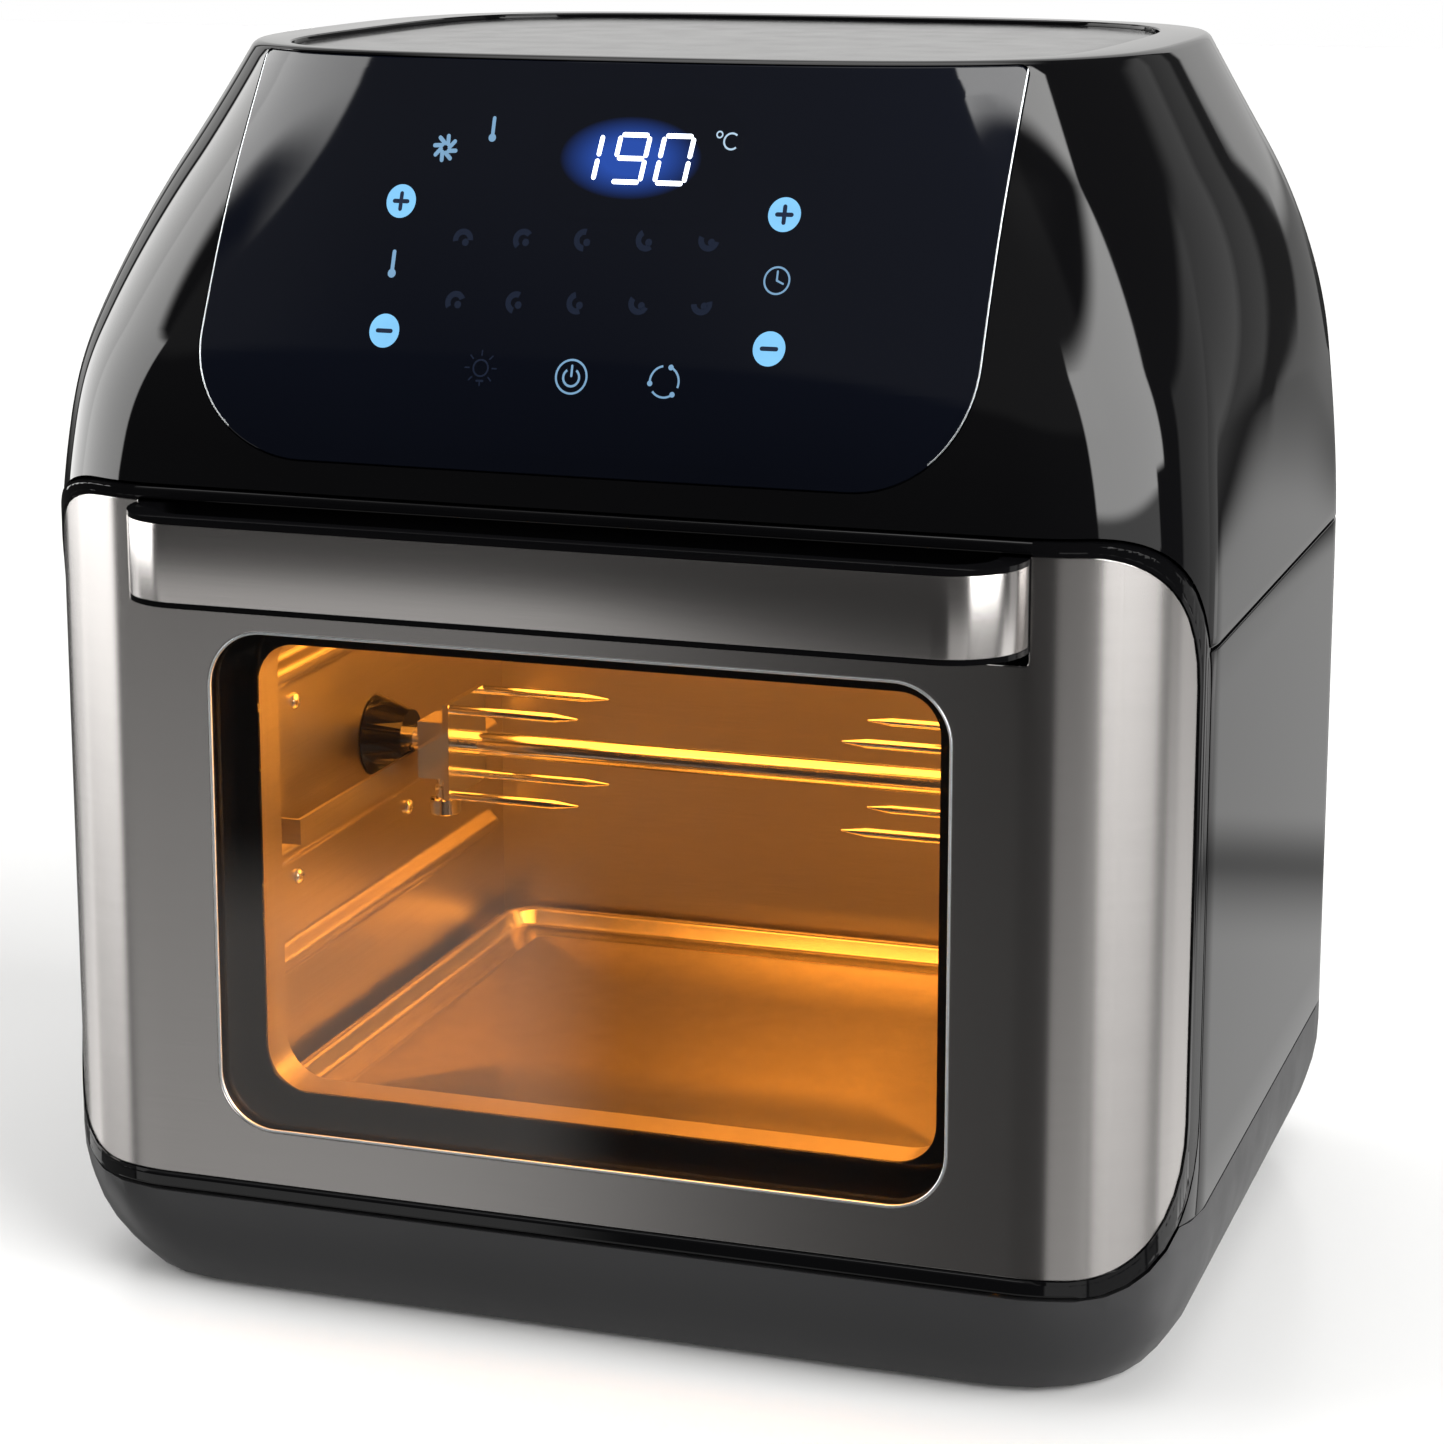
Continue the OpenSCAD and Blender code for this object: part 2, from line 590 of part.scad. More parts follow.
module temperature_sensor() {
    color("silver") union() {
        rod_z(ceiling_z - 16, ceiling_z + 12, 2.5, 70, cavity_back_y - 30);
        rod_z(ceiling_z + sheet, ceiling_z + 4, 7, 70, cavity_back_y - 30);
    }
}
module thermal_fuse() {
    color("ivory") union() {
        rod_z(SHIELD_Z + sheet, SHIELD_Z + 12, 8, -90, 50);
        block([-93, 30, SHIELD_Z + sheet + 2], [-87, 70, SHIELD_Z + sheet + 3]);
    }
}
module rotisserie_motor() {
    x0 = -cavity_half_w - sheet;
    color([0.75, 0.75, 0.77]) difference() {
        union() {
            rod_x(x0 - 20, x0, 25, spit_y, spit_z);
            block([x0 - 34, spit_y - 14, spit_z - 20], [x0 - 20, spit_y + 14, spit_z + 20]);
        }
        rod_x(x0 - 18, x0 + 1, 3 + running, spit_y, spit_z);
    }
}
module drive_socket() {
    x0 = -cavity_half_w;
    color([0.04, 0.04, 0.04]) difference() {
        union() {
            translate([x0 + 0.4, spit_y, spit_z]) rotate([0, 90, 0])
                cylinder(h = socket_l, r1 = socket_r[0], r2 = socket_r[1]);
            rod_x(x0 - 17, x0 + 1, 3, spit_y, spit_z);
        }
        rod_x(x0 + 4, 0, spit_r, spit_y, spit_z);
    }
}
SPIT_END = 112;
module spit_rod() {
    color("silver") union() {
        rod_x(-cavity_half_w + 4 + TINY, SPIT_END - 4, spit_r, spit_y, spit_z);
        translate([SPIT_END - 4, spit_y, spit_z]) rotate([0, 90, 0]) cylinder(h = 4, r1 = spit_r, r2 = 1);
        // collars each side of the right-hand rail
        rod_x(rail_x - 3.5, rail_x - 1, 7, spit_y, spit_z);
        rod_x(rail_x + rail_t + 1, rail_x + rail_t + 3.5, 7, spit_y, spit_z);
    }
}
// A hub with a bore and a thumb screw's hole, a cross plate and four tines.
module fork(s) {
    x0 = hub_x[0];
    color([0.8, 0.8, 0.82]) difference() {
        union() {
            block([min(s * x0, s * (hub_x[1] - 3)), spit_y - 7.5, spit_z - 11],
                [max(s * x0, s * (hub_x[1] - 3)), spit_y + 7.5, spit_z + 7.5]);
            block([min(s * x0, s * (x0 - 2)), spit_y - fork_spread - 1.5, spit_z - fork_spread - 1.5],
                [max(s * x0, s * (x0 - 2)), spit_y + fork_spread + 1.5, spit_z + fork_spread + 1.5]);
            for (y = [-1, 1], z = [-1, 1]) translate([s * x0, spit_y + y * fork_spread, spit_z + z * fork_spread])
                rotate([0, -s * 90, 0]) {
                    cylinder(h = tine_l - 8, r = 1.5);
                    translate([0, 0, tine_l - 8]) cylinder(h = 8, r1 = 1.5, r2 = 0.3);
                }
        }
        rod_x(-FAR, FAR, spit_r + running, spit_y, spit_z);
        rod_z(spit_z - 20, spit_z, thumb_r + running, s * thumb_x, spit_y);
    }
}
thumb_x = (hub_x[0] + hub_x[1] - 3) / 2;
module thumb_screw(s) {
    color("silver") translate([s * thumb_x, spit_y, spit_z - 24]) rotate_extrude()
        polygon([[0, 0], [4.6, 0], [5, 0.5], [5, 5], [4.6, 5.5], [3.2, 5.8], [3.2, 9], [thumb_r, 9.4],
            [thumb_r, 19.4], [1.5, 19.8], [0, 19.8]]);
}
module fork_left() { fork(-1); }
module fork_right() { fork(1); }
module thumb_screw_left() { thumb_screw(-1); }
module thumb_screw_right() { thumb_screw(1); }
// A flat strip on edge that carries one end of the spit, with tabs to the wall.
RAIL_Z = [129.8, 137.6];
module support_rail(s) {
    y0 = front_y + 50;
    y1 = spit_y + 18;
    xi = s * rail_x;
    xo = s * (rail_x + rail_t);
    xw = s * (cavity_half_w - TINY);
    color([0.75, 0.73, 0.7]) union() {
        block([min(xi, xo), y0, RAIL_Z[0]], [max(xi, xo), y1, RAIL_Z[1]]);
        block([min(xi, xw), y0, RAIL_Z[0]], [max(xi, xw), y0 + rail_t, RAIL_Z[1]]);
        block([min(xi, xw), y1 - rail_t, RAIL_Z[0]], [max(xi, xw), y1, RAIL_Z[1]]);
        // the stop behind the spit
        block([min(xi, xo), spit_y + 4.6, RAIL_Z[1] - 1], [max(xi, xo), spit_y + 8, RAIL_Z[1] + 7]);
    }
}
module support_rail_left() { support_rail(-1); }
module support_rail_right() { support_rail(1); }
module drip_tray() {
    low = [-cavity_half_w + 5, cavity_front_y + 6];
    high = [cavity_half_w - 5, cavity_back_y - 4];
    color([0.6, 0.6, 0.62]) difference() {
        slab(floor_z + 0.05, floor_z + 7) rounded(low, high, 12);
        slab(floor_z + 1, floor_z + 8) rounded(low + [1, 1], high - [1, 1], 11);
    }
}
module power_board() {
    color([0.05, 0.3, 0.12]) union() {
        block([cavity_half_w + 14, -60, 80], [cavity_half_w + 15.6, 40, 160]);
        block([cavity_half_w + 15.6, -50, 95], [cavity_half_w + 40, -20, 125]);
        block([cavity_half_w + 15.6, -5, 95], [cavity_half_w + 33, 12, 115]);
        block([cavity_half_w + 5, -58, 78], [cavity_half_w + 14, -52, 84]);
        block([cavity_half_w + 5, 30, 78], [cavity_half_w + 14, 36, 84]);
    }
}
module cord_gland() {
    color([0.04, 0.04, 0.04]) translate([GLAND[0], back_y - 8, GLAND[1]]) rotate([-90, 0, 0]) difference() {
        rotate_extrude() polygon([[0, 0], [8, 0], [8, 8], [11, 8 + TINY], [11, 11], [7, 12], [5.5, 17], [0, 17]]);
        translate([0, 0, -1]) cylinder(h = 30, r = 3.5);
    }
}
PLUNGER = [132, 226];                 // x and z of the door switch's plunger
module door_switch() {
    color([0.1, 0.1, 0.1]) difference() {
        block([PLUNGER[0] - 5, cavity_front_y, PLUNGER[1] - 8], [PLUNGER[0] + 5, cavity_front_y + 16, PLUNGER[1] + 8]);
        rod_y(cavity_front_y - 1, cavity_front_y + 12, 2 + running, PLUNGER[0], PLUNGER[1]);
    }
}
module switch_plunger() {
    color([0.8, 0.2, 0.15]) rod_y(door_back_y + 0.3, cavity_front_y + 8, 2, PLUNGER[0], PLUNGER[1]);
}
back_screw_spots = [for (x = [-120, 120], z = [62, 202]) [x, z]];
module housing_screws() {
    color("gray") for (p = back_screw_spots)
        translate([p[0], back_y - 6, p[1]]) rotate([-90, 0, 0]) rotate_extrude()
            polygon([[0, 0], [1.4, 0], [1.4, 6 + TINY], [3.2, 6 + TINY], [3.2, 7], [1.8, 8], [0, 8.1]]);
}

// ---- Door -----------------------------------------------------------------

module hinge_brackets() {
    color("gainsboro") for (s = [-1, 1]) difference() {
        union() {
            rod_x(s * hinge_x - knuckle_half, s * hinge_x + knuckle_half, knuckle_r, hinge_y, hinge_z);
            block([s * hinge_x - knuckle_half, hinge_y, hinge_z - 2.5],
                [s * hinge_x + knuckle_half, door_back_y + 3, hinge_z + 2.5]);
            block([s * hinge_x - knuckle_half, door_back_y + 2, DECK_Z], [s * hinge_x + knuckle_half, door_back_y + 30, 46]);
        }
        rod_x(-FAR, FAR, hinge_pin_r, hinge_y, hinge_z);
        block([-FAR, door_back_y + 3.6, 0], [FAR, FAR, DECK_Z]);
    }
}
PIN_HALF = 12;
module hinge_pins() {
    color("silver") for (s = [-1, 1]) rod_x(s * hinge_x - PIN_HALF, s * hinge_x + PIN_HALF, hinge_pin_r, hinge_y, hinge_z);
}
FRAME_WALL = 3;
LIP_T = 1;
// All that the door's outline reaches as it turns about the hinge.
module door_swing() {
    r = skin_corner + door_border;
    top = skin_top_z + door_border - 1 + 0.2;
    edge = [for (t = [90:-10:0]) [top - r + r * cos(t) - hinge_z, wrap(frame_edge_s - r + r * sin(t))]];
    translate([0, hinge_y, hinge_z]) rotate([0, 90, 0]) rotate_extrude() polygon(concat([[0, edge[0][1]]], edge,
        [for (k = [len(edge) - 1:-1:0]) [edge[k][0], -edge[k][1]]], [[0, -edge[0][1]]]));
}
module door_frame() {
    color([0.03, 0.03, 0.03]) difference() {
        intersection() {
            door_frame_solid();
            door_swing();
        }
        door_frame_cuts();
    }
}
module door_frame_solid() {
    union() {
        intersection() {
            slab(0, FAR) intersection() {
                plan(skin_sink + skin_t + 0.1);
                translate([-FAR, -FAR]) square([2 * FAR, FAR + door_back_y]);
            }
            deep(front_y - 1, door_back_y) frame_outline();
        }
        // the border stands a little proud of the skin
        intersection() {
            slab(0, FAR) intersection() {
                plan(0);
                translate([-FAR, -FAR]) square([2 * FAR, FAR + door_back_y]);
            }
            deep(front_y - 1, door_back_y) difference() {
                frame_outline();
                skin_outline(0.2);
            }
        }
    }
}
module door_frame_cuts() {
    // round lower edge that turns about the hinge
    difference() {
        block([-FAR, front_y - 1, 0], [FAR, hinge_y, hinge_z]);
        rod_x(-FAR, FAR, hinge_y - front_y + 0.2, hinge_y, hinge_z);
    }
    // hollow behind the front wall, outside the window's tunnel
    difference() {
        intersection() {
            slab(0, FAR) plan(FRAME_WALL + 1);
            deep(front_y + FRAME_WALL + 1, FAR) frame_outline(-FRAME_WALL);
        }
        deep(front_y, inner_lip_y + LIP_T) window_outline(FRAME_WALL + 2.5);
        block([-handle_half_w - 4, front_y, notch_z - 3], [handle_half_w + 4, recess_y + 3, FAR]);
        for (s = [-1, 1]) block([s * hinge_x - PIN_HALF - 1, front_y, 0],
            [s * hinge_x + PIN_HALF + 1, hinge_y + 5, hinge_z + 7]);
    }
    // window: the outer pane's seat, the tunnel, and the lip round the inner pane
    deep(front_y - 1, glass_y + outer_glass_t) window_outline(3.2);
    deep(front_y - 1, inner_lip_y) window_outline(0);
    deep(front_y - 1, FAR) inner_outline();
    // the handle's pocket
    deep(front_y - 1, recess_y) handle_notch(0.5);
    // hinges: pin bores, and room for each knuckle and its arm
    for (s = [-1, 1]) {
        rod_x(s * hinge_x - PIN_HALF - 0.5, s * hinge_x + PIN_HALF + 0.5, hinge_pin_r + running, hinge_y, hinge_z);
        block([s * hinge_x - knuckle_half - 0.5, hinge_y - knuckle_r - 0.4, 0],
            [s * hinge_x + knuckle_half + 0.5, FAR, hinge_z + knuckle_r + 0.6]);
    }
}
module door_skin() {
    color([0.55, 0.54, 0.53]) difference() {
        intersection() {
            slab(0, FAR) difference() {
                intersection() {
                    plan(skin_sink);
                    translate([-FAR, -FAR]) square([2 * FAR, FAR + door_back_y]);
                }
                plan(skin_sink + skin_t);
            }
            deep(front_y - 1, door_back_y) skin_outline();
        }
        deep(front_y - 1, FAR) window_outline();
        deep(front_y - 1, front_y + 10) handle_notch();
    }
}
module outer_glass() {
    color([0.1, 0.1, 0.1, 0.4]) deep(glass_y, glass_y + outer_glass_t - 0.05) window_outline(3);
}
module inner_glass() {
    color([0.5, 0.4, 0.3, 0.3]) deep(inner_glass_y, inner_glass_y + inner_glass_t) inner_outline(6);
}
module glass_seal() {
    color([0.1, 0.1, 0.1]) deep(inner_glass_y + inner_glass_t, inner_glass_y + inner_glass_t + 2) difference() {
        inner_outline(6);
        inner_outline(2);
    }
}
LINER_INSET = 5;
module door_liner() {
    color(STEEL) difference() {
        union() {
            intersection() {
                slab(0, FAR) plan(LINER_INSET);
                deep(door_back_y - 1, door_back_y) frame_outline(-LINER_INSET);
            }
            deep(inner_glass_y + inner_glass_t + 2, door_back_y) inner_outline(3);
        }
        deep(0 - FAR, FAR) inner_outline(2);
        for (s = [-1, 1]) block([s * hinge_x - PIN_HALF - 2, -FAR, 0], [s * hinge_x + PIN_HALF + 2, FAR, hinge_z + 8]);
    }
}
// The handle seen from above, drawn in by i: a bar whose ends curve to the door.
module grip_plan(i = 0) {
    straight = handle_half_w - handle_r;
    start_y = front_y - handle_out + handle_r;
    difference() {
        union() {
            translate([-straight, start_y - handle_r + i]) square([2 * straight, handle_out]);
            translate([-handle_half_w + i, start_y]) square([2 * (handle_half_w - i), recess_y - start_y]);
            for (s = [-1, 1]) translate([s * straight, start_y]) circle(handle_r - i);
        }
        translate([-FAR, recess_y]) square(2 * FAR);
    }
}
module handle_grip() {
    color([0.03, 0.03, 0.03]) difference() {
        union() {
            slab(handle_z[0] - handle_rim, handle_z[1] + handle_rim) grip_plan(skin_t);
            for (z = [handle_z[0] - handle_rim, handle_z[1]]) slab(z, z + handle_rim) grip_plan(0);
            slab(handle_z[0] - handle_rim, handle_z[1] + handle_rim) difference() {
                grip_plan(0);
                translate([-FAR, front_y - FAR]) square([2 * FAR, FAR - 1]);
            }
        }
        slab(0, FAR) grip_plan(handle_t);
    }
}
module handle_cover() {
    color([0.7, 0.69, 0.67]) slab(handle_z[0] + TINY, handle_z[1] - TINY) difference() {
        grip_plan(0);
        grip_plan(skin_t);
        translate([-FAR, front_y - 1]) square([2 * FAR, FAR]);
    }
}

base_housing();
bottom_cover();
feet();
side_shell_left();
side_shell_right();
back_panel();
rear_vent();
upper_hood();
top_plate();
control_panel();
control_board();
display_module();
touch_springs();
cavity_left_wall();
cavity_right_wall();
cavity_back_wall();
cavity_floor();
cavity_ceiling();
front_flange();
door_seal();
heat_shield();
heating_element();
fan_guard();
fan_motor();
motor_bracket();
lamp_holder();
oven_lamp();
lamp_lens();
temperature_sensor();
thermal_fuse();
rotisserie_motor();
support_rail_left();
support_rail_right();
power_board();
cord_gland();
hinge_brackets();
hinge_pins();
door_switch();
drip_tray();
cavity_screws();
housing_screws();
motor_shaft();
convection_fan();
fan_nut();
cooling_fan();
drive_socket();
spit_rod();
fork_left();
thumb_screw_left();
fork_right();
thumb_screw_right();
switch_plunger();
door_frame();
door_skin();
outer_glass();
inner_glass();
glass_seal();
door_liner();
handle_grip();
handle_cover();
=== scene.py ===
"""An air fryer oven: the looks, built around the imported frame."""

import math

import bmesh
import bpy
import numpy as np
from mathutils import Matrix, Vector


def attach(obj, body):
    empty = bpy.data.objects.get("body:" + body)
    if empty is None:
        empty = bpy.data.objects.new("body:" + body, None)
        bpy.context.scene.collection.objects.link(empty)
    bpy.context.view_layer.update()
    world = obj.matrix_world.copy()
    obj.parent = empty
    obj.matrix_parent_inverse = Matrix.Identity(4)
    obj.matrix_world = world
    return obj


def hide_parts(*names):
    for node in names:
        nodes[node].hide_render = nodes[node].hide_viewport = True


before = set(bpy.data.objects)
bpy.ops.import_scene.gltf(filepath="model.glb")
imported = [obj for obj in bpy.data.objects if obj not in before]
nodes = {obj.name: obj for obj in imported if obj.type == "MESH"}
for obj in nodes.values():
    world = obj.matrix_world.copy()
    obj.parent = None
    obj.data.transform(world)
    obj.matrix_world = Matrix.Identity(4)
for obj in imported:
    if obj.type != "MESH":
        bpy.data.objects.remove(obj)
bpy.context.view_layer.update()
MM = 0.001

# The object's main measures, in millimetres, as the CAD has them.
HALF_W = 172.5
FRONT_Y = -135.0
BACK_Y = 138.0
CORNER_FRONT = 45.0
CORNER_REAR = 39.0
BODY_H = 367.0
HOOD_SEAM = 212.4
DOOR_BACK = -98.0
SHELL_X = 128.3
SHELL_Z = (50.9, 211.6)
SKIN_Z = (41.0, 242.0)
SKIN_EDGE = 183.0
SKIN_SINK = 0.5
SKIN_CORNER = 39.0
BORDER = 5.0
WINDOW_HALF = 109.5
WINDOW_Z = (57.0, 206.0)
WINDOW_R = 17.0
NOTCH_HALF = 130.0
NOTCH_Z = 212.3
PANEL_HALF = 113.5
PANEL_Z = (256.0, 365.6)
PANEL_R = 34.0
CAVITY_HALF = 118.0
CAVITY_Y = (-95.5, 111.0)
FLOOR_Z = 49.0
CEILING_Z = 233.0
SPIT_Y = 2.25
SPIT_Z = 142.0


# ---- Mesh tools -------------------------------------------------------------


def to_object(name, mesh):
    obj = bpy.data.objects.new(name, mesh)
    bpy.context.scene.collection.objects.link(obj)
    return obj


def from_points(name, points, faces):
    """A mesh object from points in millimetres."""
    mesh = bpy.data.meshes.new(name)
    mesh.from_pydata([(x * MM, y * MM, z * MM) for x, y, z in points], [], faces)
    mesh.validate()
    tidy = bmesh.new()
    tidy.from_mesh(mesh)
    bmesh.ops.recalc_face_normals(tidy, faces=tidy.faces)
    tidy.to_mesh(mesh)
    tidy.free()
    return to_object(name, mesh)


def shade(obj, angle=32.0):
    """Smooth shading that keeps edges sharper than angle."""
    mesh = obj.data
    mesh.polygons.foreach_set("use_smooth", [True] * len(mesh.polygons))
    mesh.set_sharp_from_angle(angle=math.radians(angle))
    return obj


def place(obj, body, slot, material, *stands_for):
    """Gives a new piece its body and its material, and hides the nodes it stands for. Its slot is not used.
    """
    obj.data.materials.clear()
    obj.data.materials.append(material)
    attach(obj, body)
    if stands_for:
        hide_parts(*stands_for)
    return obj


def bake_modifiers(obj):
    """Puts the modifiers' result into the mesh."""
    graph = bpy.context.evaluated_depsgraph_get()
    made = bpy.data.meshes.new_from_object(obj.evaluated_get(graph))
    obj.modifiers.clear()
    obj.data = made
    return obj


def cut(obj, cutter, operation="DIFFERENCE"):
    """Cuts obj with cutter, and removes cutter."""
    tool = obj.modifiers.new("cut", "BOOLEAN")
    tool.object = cutter
    tool.operation = operation
    tool.solver = "EXACT"
    bake_modifiers(obj)
    bpy.data.objects.remove(cutter)
    return obj


def join(name, parts):
    """One object out of several."""
    whole = bmesh.new()
    for part in parts:
        whole.from_mesh(part.data)
        bpy.data.objects.remove(part)
    mesh = bpy.data.meshes.new(name)
    whole.to_mesh(mesh)
    whole.free()
    return to_object(name, mesh)


def ring_strip(count, a, b):
    """Quads between two rings of count points that start at a and b."""
    return [(a + p, a + (p + 1) % count, b + (p + 1) % count, b + p) for p in range(count)]


def loft(name, rings, closed=False):
    """Skins rings of points. The ends are capped, or joined if closed."""
    count = len(rings[0])
    points = [p for ring in rings for p in ring]
    faces = []
    for k in range(len(rings) - 1):
        faces += ring_strip(count, k * count, (k + 1) * count)
    last = (len(rings) - 1) * count
    if closed:
        faces += ring_strip(count, last, 0)
    else:
        faces += [tuple(range(count)), tuple(range(last, last + count))]
    return from_points(name, points, faces)


def turned(name, profile, centre, axis="Z", count=64):
    """A solid of revolution: profile is (radius, height) pairs from end to end."""
    rings = []
    for r, h in profile:
        ring = []
        for p in range(count):
            a = 2 * math.pi * p / count
            u, v = max(r, 0.01) * math.cos(a), max(r, 0.01) * math.sin(a)
            local = {"X": (h, u, v), "Y": (v, h, u), "Z": (u, v, h)}[axis]
            ring.append(tuple(c + d for c, d in zip(centre, local)))
        rings.append(ring)
    return loft(name, rings)


def arc(cx, cy, r, a0, a1, steps):
    """Points on an arc, with angles in degrees."""
    out = []
    for k in range(steps + 1):
        a = math.radians(a0 + (a1 - a0) * k / steps)
        out.append((cx + r * math.cos(a), cy + r * math.sin(a)))
    return out


def rounded(x0, y0, x1, y1, r, steps=10):
    """A rectangle with round corners, anticlockwise."""
    return (
        arc(x1 - r, y0 + r, r, -90, 0, steps)
        + arc(x1 - r, y1 - r, r, 0, 90, steps)
        + arc(x0 + r, y1 - r, r, 90, 180, steps)
        + arc(x0 + r, y0 + r, r, 180, 270, steps)
    )


def flat_plate(outlines, thickness, edge):
    """A bmesh plate in the XY plane with holes, its edges rounded by edge. Its middle is at z 0."""
    curve = bpy.data.curves.new("plate", "CURVE")
    curve.dimensions = "2D"
    curve.fill_mode = "BOTH"
    curve.extrude = thickness / 2 - edge
    curve.bevel_depth = edge
    curve.bevel_resolution = 2
    curve.offset = -edge
    for outline in outlines:
        spline = curve.splines.new("POLY")
        spline.points.add(len(outline) - 1)
        for point, (x, y) in zip(spline.points, outline):
            point.co = (x, y, 0, 1)
        spline.use_cyclic_u = True
    obj = to_object("plate", curve)
    graph = bpy.context.evaluated_depsgraph_get()
    mesh = bpy.data.meshes.new_from_object(obj.evaluated_get(graph))
    bpy.data.objects.remove(obj)
    plate = bmesh.new()
    plate.from_mesh(mesh)
    bmesh.ops.remove_doubles(plate, verts=plate.verts, dist=0.002)
    return plate


def slice_plate(plate, axis, spots):
    """Adds edges across the plate so that it can bend."""
    normal = (1, 0, 0) if axis == 0 else (0, 1, 0)
    for spot in spots:
        where = (spot, 0, 0) if axis == 0 else (0, spot, 0)
        every = plate.verts[:] + plate.edges[:] + plate.faces[:]
        bmesh.ops.bisect_plane(plate, geom=every, dist=1e-4, plane_co=where, plane_no=normal)


def from_plate(name, plate, mapping):
    """Bends a plate: mapping takes (u, v, w) to x, y, z in millimetres."""
    for vert in plate.verts:
        x, y, z = mapping(*vert.co)
        vert.co = (x * MM, y * MM, z * MM)
    bmesh.ops.recalc_face_normals(plate, faces=plate.faces)
    mesh = bpy.data.meshes.new(name)
    plate.to_mesh(mesh)
    plate.free()
    return to_object(name, mesh)


def prism(name, outline, low, high, axis="Y"):
    """An outline drawn straight on (axis Y) or from above (axis Z), from low to high."""
    rings = []
    for depth in (low, high):
        if axis == "Y":
            rings.append([(u, depth, v) for u, v in outline])
        elif axis == "X":
            rings.append([(depth, u, v) for u, v in outline])
        else:
            rings.append([(u, v, depth) for u, v in outline])
    return loft(name, rings)


# ---- The object's shapes ----------------------------------------------------

# How each wall of the hood leans in: arc radius, the level where it starts, and the angle.
SIDE_LEAN = (132.0, 269.5, 29.5)
FRONT_LEAN = (80.0, 260.0, 20.2)
BACK_LEAN = (400.0, 288.0, 6.0)
# Where the corners start to grow rounder, and over what height.
FRONT_ROUND = (220.0, 148.0)
BACK_ROUND = (207.0, 200.0)
HOOD_SQUARE = 3.2


def lean(z, wall):
    r, start, angle = wall
    h, angle = max(0.0, z - start), math.radians(angle)
    h1 = r * math.sin(angle)
    if h <= h1:
        return r - math.sqrt(r * r - h * h)
    return r * (1 - math.cos(angle)) + (h - h1) * math.tan(angle)


def ease(t):
    u = min(1.0, max(0.0, t))
    return u * u * (3 - 2 * u)


def edge_flat(a, w, d, r):
    """Distance to the edge of a rounded rectangle in direction a."""
    c, s = abs(math.cos(a)), abs(math.sin(a))
    cx, cy = w - r, d - r
    if c * cy >= s * w:
        return w / c
    if s * cx >= c * d:
        return d / s
    dot = cx * c + cy * s
    return dot + math.sqrt(max(0.0, dot * dot - cx * cx - cy * cy + r * r))


def edge_round(a, w, d, n):
    """The same for a superellipse."""
    return (abs(math.cos(a) / w) ** n + abs(math.sin(a) / d) ** n) ** (-1 / n)


def aim(p, count, w, d):
    """Direction of a ring's point: the points crowd together at the corners."""
    a = 2 * math.pi * (p + 0.5) / count
    c, s = math.cos(a), math.sin(a)
    u = math.copysign(abs(s) ** 0.45, s) * d
    v = math.copysign(abs(c) ** 0.45, c) * w
    return math.atan2(u, v)


def hood_size(z, inset):
    y0 = FRONT_Y + lean(z, FRONT_LEAN) + inset
    y1 = BACK_Y - lean(z, BACK_LEAN) - inset
    return HALF_W - lean(z, SIDE_LEAN) - inset, (y1 - y0) / 2, (y0 + y1) / 2


def hood_radius(a, z, inset):
    w, d, _ = hood_size(z, inset)
    ahead = math.sin(a) < 0
    corner = CORNER_FRONT if ahead else CORNER_REAR
    start, height = FRONT_ROUND if ahead else BACK_ROUND
    k = ease((z - start) / height)
    return (1 - k) * edge_flat(a, w, d, corner - inset) + k * edge_round(a, w, d, HOOD_SQUARE)


RING = 320


def hood_ring(z, inset, count=RING):
    w, d, m = hood_size(z, inset)
    ring = []
    for p in range(count):
        a = aim(p, count, w, d)
        r = hood_radius(a, z, inset)
        ring.append((r * math.cos(a), m + r * math.sin(a), z))
    return ring


_fronts = {}


def hood_front(x, z, inset=0.0):
    """y of the hood's front surface at a place seen straight on."""
    key = (round(z, 3), round(inset, 3))
    if key not in _fronts:
        _, _, m = hood_size(z, inset)
        angles = np.linspace(-math.pi + 0.2, -0.2, 361)
        radii = np.array([hood_radius(a, z, inset) for a in angles])
        _fronts[key] = (radii * np.cos(angles), m + radii * np.sin(angles))
    xs, ys = _fronts[key]
    return float(np.interp(x, xs, ys))


def top_ring(grow, z, count=RING):
    """The top plate's outline."""
    w, d = 120.0 + grow, 107.0 + grow
    ring = []
    for p in range(count):
        a = aim(p, count, w, d)
        r = edge_round(a, w, d, 4)
        ring.append((r * math.cos(a), 13.0 + r * math.sin(a), z))
    return ring


def on_door(s, z, depth):
    """The place at length s along the door's curved face, sunk by depth."""
    start = HALF_W - CORNER_FRONT
    if abs(s) <= start:
        return s, FRONT_Y + depth, z
    turn = (abs(s) - start) / CORNER_FRONT
    r = CORNER_FRONT - depth
    x = start + r * math.sin(turn)
    return math.copysign(x, s), FRONT_Y + CORNER_FRONT - r * math.cos(turn), z


def door_cutter(grow):
    """The space that the door fills, which the hood and the base leave open."""
    edge, r = SKIN_EDGE + 6.5 + grow, SKIN_CORNER + BORDER + grow
    low, high = SKIN_Z[0] - BORDER - grow, SKIN_Z[1] + BORDER - 1 + grow
    outline = [(on_door(s, 0, 0)[0], z) for s, z in rounded(-edge, low, edge, high, r, 24)]
    return prism("cutter", outline, FRONT_Y - 50, DOOR_BACK + 1.3)


# ---- Materials --------------------------------------------------------------


